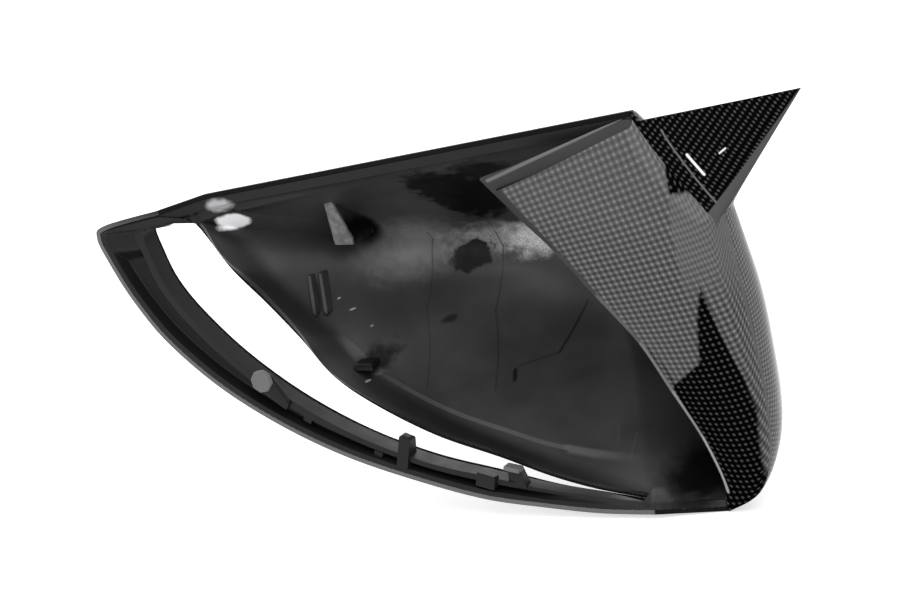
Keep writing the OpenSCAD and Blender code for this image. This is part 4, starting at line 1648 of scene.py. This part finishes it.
@dataclass(frozen=True)
class CarbonWeave:
    """Carbon weave under a clear coat, with its darker fold, painted dark reflection in a patch and a
    wedge, painted glare and highlights, and bare cut edges.

    Places are x and z in millimetres. Fields named soft, fade or rise hold the two ends of a smooth
    step: across an edge for soft, and along y or z for the others.
    """

    seat: Array
    groups: PatternGroups
    name: str = "carbon_weave"
    pitch: float = 2.0
    plain: Threads = Threads(0.018, 0.075, 0.235)
    folded: Threads = Threads(0.050, 0.105, 0.170)
    # Near black tones of the painted dark reflection
    reflected_dark: Threads = Threads(0.001, 0.002, 0.085)
    # Near black ground of the horn's rear face, a painted dark reflection, with its light dots
    horn: Threads = Threads(0.001, 0.003, 0.085)
    fold_squeeze: tuple = (1.75, 1.0, 1.0)
    horn_squeeze: tuple = (0.88, 1.6, 1.0)
    rough: tuple = (0.5, 0.32)
    relief: float = 0.25
    coat: float = 0.3
    coat_rise: tuple = (6.0, 26.0)
    coat_rough: float = 0.05
    # A grey wash towards the top of the flank, a painted reflection that hides the weave
    glare_rise: tuple = (-25.0, 18.0)
    glare_share: float = 0.38
    glare_tone: float = 0.11
    seam: tuple = (182.2, 4.0)
    seam_lean: float = 0.28
    seam_soft: tuple = (-0.3, 0.5)
    seam_fade: tuple = (-34.0, -14.0)
    # The patch is a painted dark reflection beside the crease
    patch_x: float = 187.0
    patch_slant: float = 0.45
    patch_soft: tuple = (-0.5, 0.9)
    # The wedge is a painted dark reflection on the flank
    wedge_bounds: tuple = (140.0, 200.0)
    wedge_softs: tuple = ((-0.6, 0.9), (-0.5, 0.9))
    wedge_fade: tuple = (-23.5, -26.0)
    wedge_left: tuple = ((-100.0, 150.0), (-62.0, 166.5), (-51.5, 181.0), (-35.5, 184.5),
                         (-24.5, 188.0))
    wedge_right: tuple = ((-100.0, 191.0), (-68.0, 196.5), (-57.0, 195.5), (-40.0, 191.3),
                          (-24.5, 188.0))
    band_width: float = 3.4
    band_taper: float = 0.06
    band_least: float = 0.4
    band_soft: tuple = (0.0, 0.6)
    band_tone: float = 0.085
    # Painted highlights: a light line along the crease and two white dashes on the horn
    glints: tuple[Stroke, ...] = (
        Stroke((178.5, 22.4), (195.6, 0.6), 0.55, 0.16, 0.8),
        Stroke((187.2, 15.1), (192.6, 9.1), 0.75, 0.9, 1.0),
        Stroke((197.9, 15.2), (199.8, 16.5), 0.6, 0.7, 1.0),
    )
    edge_line: tuple = ((126.7, 11.3), (134.4, -2.8), (141.0, -14.0), (149.4, -29.9),
                        (159.2, -47.4), (165.4, -65.1), (170.8, -81.7), (175.2, -100.4))
    edge_width: float = 1.7
    edge_tones: tuple = (0.03, 0.03, 0.04, 0.10, 0.20, 0.30, 0.42)
    cut_dark: float = 0.012
    cut_light: float = 0.15
    cut_fade: tuple = (2.0, -6.0)

    def build(self) -> bpy.types.Material:
        """Makes the material: zones of weave and painted reflection, lines and painted highlights, and
        cut edges, under a coat with bare zones.

        Returns:
            The material.
        """
        mat, w, sockets = new_material(self.name, Coat_Roughness=self.coat_rough,
                                       Specular_IOR_Level=0.0)
        chart = w.node("ShaderNodeUVMap", uv_map="weave").outputs["UV"]
        place = w.place(self.seat)
        flank, horn = w.patch(Patch.FLANK), w.patch(Patch.HORN)
        dots = self._dots(w, chart)
        # Painted dark reflection: the wedge and the patch on the flank take the near black tones
        dark_reflection = w.math("MULTIPLY", flank,
                       w.math("MAXIMUM", self._reflection_wedge(w, place), self._reflection_patch(w, place)))
        colour = self._flank_colour(w, chart, place, dots, flank)
        colour = w.blend(dark_reflection, colour, self._threads(w, dots, self.reflected_dark))
        colour = w.blend(horn, colour, self._horn(w, chart))
        stroke = self.groups.stroke
        colour = lay_strokes(w, stroke, place, colour, self.glints, w.math("ADD", flank, horn))
        edge = chain(self.edge_line, self.edge_width, self.edge_tones)
        colour = lay_strokes(w, stroke, place, colour, edge, flank)
        cut_dark, cut_light = w.patch(Patch.CUT_DARK), w.patch(Patch.CUT_LIGHT)
        colour = w.blend(cut_dark, colour, grey(self.cut_dark))
        lower = w.smooth(w.split(place)[2], *self.cut_fade)
        bare = w.blend(lower, grey(self.cut_dark), grey(self.cut_light))
        colour = w.blend(cut_light, colour, bare)
        w.feed(sockets["Base Color"], colour)
        cuts = w.math("ADD", cut_dark, cut_light)
        dull = w.math("MINIMUM", w.math("ADD", w.math("ADD", dark_reflection, horn), cuts), 1.0)
        full = w.smooth(w.split(place)[1], *self.coat_rise, self.coat, 1.0)
        shown = w.math("SUBTRACT", 1.0, dull)
        w.feed(sockets["Coat Weight"], w.math("MULTIPLY", shown, full))
        w.feed(sockets["Roughness"], w.smooth(dots["Light"], 0.0, 1.0, *self.rough))
        w.feed(sockets["Normal"], w.bump(dots["Height"], self.relief))
        return mat

    def _dots(self, w: Wiring, chart: Any, squeeze: tuple = (1.0, 1.0, 1.0)) -> Any:
        """Sockets of the weave's dots, with the chart squeezed along its axes."""
        flat = w.vector("MULTIPLY", chart, squeeze)
        return w.group(self.groups.weave, Chart=flat, Pitch=self.pitch).outputs

    @staticmethod
    def _threads(w: Wiring, dots: Any, tones: Threads) -> Any:
        """Ground with dark gaps and light dots, from their three tones."""
        ground = w.blend(dots["Dark"], grey(tones.ground), grey(tones.dark))
        return w.blend(dots["Light"], ground, grey(tones.light))

    def _flank_colour(self, w: Wiring, chart: Any, place: Any, dots: Any, flank: Any) -> Any:
        """The weave's plain colour, on the flank narrower past the seam and veiled towards the top by
        a painted grey reflection.

        Args:
            w: Wiring of the material.
            chart: Socket of the flat place.
            place: Socket of the place in millimetres.
            dots: Sockets of the plain weave's dots.
            flank: Mask of the flank.

        Returns:
            Socket of the colour.
        """
        narrow = self._threads(w, self._dots(w, chart, self.fold_squeeze), self.folded)
        beyond = w.math("MULTIPLY", self._beyond_seam(w, place), flank)
        colour = w.blend(beyond, self._threads(w, dots, self.plain), narrow)
        # Painted reflection: a grey wash over the flank towards the top
        rise = w.smooth(w.split(place)[2], *self.glare_rise)
        veil = w.math("MULTIPLY", rise, self.glare_share)
        return w.blend(w.math("MULTIPLY", veil, flank), colour, grey(self.glare_tone))

    def _beyond_seam(self, w: Wiring, place: Any) -> Any:
        """1 outboard of the seam, which is upright and leans inwards above its bend.

        Args:
            w: Wiring of the material.
            place: Socket of the place in millimetres.

        Returns:
            Socket of the mask, which fades out downwards.
        """
        x, _, z = w.split(place)
        above = w.math("MAXIMUM", w.math("SUBTRACT", z, self.seam[1]), 0.0)
        lean = w.math("MULTIPLY", above, self.seam_lean)
        off = w.math("ADD", w.math("SUBTRACT", x, self.seam[0]), lean)
        return w.math("MULTIPLY", w.smooth(off, *self.seam_soft), w.smooth(z, *self.seam_fade))

    def _reflection_patch(self, w: Wiring, place: Any) -> Any:
        """Painted dark reflection beside the crease: outboard of the seam and above a line that slants
        down.

        Args:
            w: Wiring of the material.
            place: Socket of the place in millimetres.

        Returns:
            Socket of the mask.
        """
        x, _, z = w.split(place)
        past = w.math("MAXIMUM", w.math("SUBTRACT", x, self.patch_x), 0.0)
        low = w.math("SUBTRACT", self.seam[1], w.math("MULTIPLY", past, self.patch_slant))
        above = w.smooth(w.math("SUBTRACT", z, low), *self.patch_soft)
        return w.math("MULTIPLY", self._beyond_seam(w, place), above)

    def _reflection_wedge(self, w: Wiring, place: Any) -> Any:
        """Painted dark reflection in a wedge that widens downwards from a tip, between two bent sides
        read off z.

        Args:
            w: Wiring of the material.
            place: Socket of the place in millimetres.

        Returns:
            Socket of the mask.
        """
        x, _, z = w.split(place)
        left = w.curve(z, *self.wedge_bounds, self.wedge_left)
        right = w.curve(z, *self.wedge_bounds, self.wedge_right)
        from_left = w.smooth(w.math("SUBTRACT", x, left), *self.wedge_softs[0])
        to_right = w.smooth(w.math("SUBTRACT", right, x), *self.wedge_softs[1])
        inside = w.math("MULTIPLY", from_left, to_right)
        return w.math("MULTIPLY", inside, w.smooth(z, *self.wedge_fade))

    def _horn(self, w: Wiring, chart: Any) -> Any:
        """Near black with light dashes, the near black a painted dark reflection, and a grey band
        along the outer edge, slim at the tip.

        Args:
            w: Wiring of the material.
            chart: Socket of the flat place, its second number the way up the outer edge.

        Returns:
            Socket of the colour.
        """
        colour = self._threads(w, self._dots(w, chart, self.horn_squeeze), self.horn)
        u, v, _ = w.split(chart)
        width = w.math("SUBTRACT", self.band_width, w.math("MULTIPLY", v, self.band_taper))
        width = w.math("MAXIMUM", width, self.band_least)
        band = w.smooth(w.math("SUBTRACT", width, w.math("ABSOLUTE", u)), *self.band_soft)
        return w.blend(band, colour, grey(self.band_tone))


@dataclass(frozen=True)
class Lamp:
    """A square lamp: its place and side in metres and its power in watts."""

    name: str
    place: tuple[float, float, float]
    side: float
    power: float


@dataclass
class Studio:
    """White floor and backdrop, soft lamps and the photo's camera."""

    floor_z: float
    seat: Array
    floor_reach: float = 6.0
    floor_tone: float = 0.9
    floor_glow: float = 0.5
    air_strengths: tuple = (0.6, 1.0)
    lamp_aim: tuple = (0.02, 0.0, -0.04)
    lamps: tuple[Lamp, ...] = (Lamp("key_lamp", (0.9, -1.2, 1.6), 2.0, 30.0),
                               Lamp("fill_lamp", (-1.6, -0.9, 1.0), 2.0, 14.0),
                               Lamp("front_lamp", (-0.4, 1.9, 1.3), 1.0, 9.0))
    eye: tuple = (0.6924, -0.975, 0.2999)
    aim: tuple = (0.0985, -0.004, -0.0335)
    upward: tuple = (0.0, 0.32675, 0.94511)
    lens: float = 146.0

    def build(self) -> None:
        """Adds floor, air, lamps and camera."""
        self._floor()
        self._air()
        self._light()
        self._camera()

    @staticmethod
    def _seen(w: Wiring) -> Any:
        """1 for camera, glossy and transmission rays."""
        path = w.node("ShaderNodeLightPath").outputs
        seen = w.math("ADD", path["Is Camera Ray"], path["Is Glossy Ray"])
        return w.math("MINIMUM", w.math("ADD", seen, path["Is Transmission Ray"]), 1.0)

    def _floor(self) -> None:
        """A pale floor under the cover that shows white to the camera and keeps a soft shadow."""
        mesh = bpy.data.meshes.new("studio_floor")
        r, z = self.floor_reach, self.floor_z
        mesh.from_pydata([(-r, -r, z), (r, -r, z), (r, r, z), (-r, r, z)], [], [(0, 1, 2, 3)])
        floor = add_object("studio_floor", mesh)
        mat, w, sockets = new_material("studio_white", Roughness=1.0, Specular_IOR_Level=0.0)
        sockets["Base Color"].default_value = (self.floor_tone,) * 3 + (1.0,)
        sockets["Emission Color"].default_value = (1.0, 1.0, 1.0, 1.0)
        glow = w.math("MULTIPLY", self._seen(w), self.floor_glow)
        w.feed(sockets["Emission Strength"], glow)
        mesh.materials.append(mat)
        floor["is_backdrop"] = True

    def _air(self) -> None:
        """White air for the camera and for reflections, and soft light from all round."""
        world = bpy.data.worlds.new("studio_air")
        bpy.context.scene.world = world
        world.use_nodes = True
        w = Wiring(world.node_tree)
        back = world.node_tree.nodes["Background"]
        back.inputs["Color"].default_value = (1.0, 1.0, 1.0, 1.0)
        w.feed(back.inputs["Strength"], w.smooth(self._seen(w), 0.0, 1.0, *self.air_strengths))

    def _light(self) -> None:
        """Soft lamps above the mouth's side, right and left, and a smaller one above the front."""
        for lamp in self.lamps:
            data = bpy.data.lights.new(lamp.name, "AREA")
            data.size = lamp.side
            data.energy = lamp.power
            obj = bpy.data.objects.new(lamp.name, data)
            obj.location = lamp.place
            aim = Vector(self.lamp_aim) - Vector(lamp.place)
            obj.rotation_euler = aim.to_track_quat("-Z", "Y").to_euler()
            bpy.context.scene.collection.objects.link(obj)

    def _camera(self) -> None:
        """Camera in the photo's place, turned to the cover's middle, with a longer lens."""
        eye, aim = np.array(self.eye) - self.seat, np.array(self.aim) - self.seat
        back = unit(eye - aim)
        right = unit(np.cross(self.upward, back))
        up = np.cross(back, right)
        data = bpy.data.cameras.new("photo_camera")
        data.sensor_width = 36.0
        data.lens = self.lens
        data.clip_end = 30.0
        camera = bpy.data.objects.new("photo_camera", data)
        turn = Matrix(np.stack([right, up, back], 1).tolist()).to_4x4()
        camera.matrix_world = Matrix.Translation(eye.tolist()) @ turn
        bpy.context.scene.collection.objects.link(camera)
        bpy.context.scene.camera = camera


def dress(piece: bpy.types.Object, node: str, material: bpy.types.Material) -> None:
    """Gives a piece its material, rides it on the root and hides the CAD node that it stands for.

    Args:
        piece: The new piece.
        node: CAD node that it replaces.
        material: Its finish.
    """
    piece.data.materials.append(material)
    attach(piece, "root")
    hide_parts(node)
    log.info("%s: %d faces", piece.name, len(piece.data.polygons))


def main() -> None:
    """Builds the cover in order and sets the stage."""
    logging.basicConfig(level=logging.INFO, format="%(message)s")
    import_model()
    cad_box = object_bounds()
    surface = CoverSurface()
    seat = surface.form.seat
    groups = PatternGroups.build()
    plastic = MouldedPlastic(seat, groups).build()
    pale_finish = MouldedPlastic(seat, groups, "pale_plastic", tone=0.14, low_share=1.0,
                            cloud_scale=0.5, edge_line=(), blots=(), strokes=()).build()
    weave = CarbonWeave(seat, groups).build()
    dress(CarbonSkin(surface).build(), "carbon_skin", weave)
    dress(BaseShell(surface).build(), "base_shell", plastic)
    for clip in Clips(surface).build():
        finish = pale_finish if clip.name in PALE_PIECES else plastic
        dress(clip, "base_shell", finish)
    Studio(floor_z=float(cad_box[0][2]), seat=seat * MM).build()
    bpy.context.scene.view_settings.view_transform = "Standard"


if __name__ == "__main__":
    main()
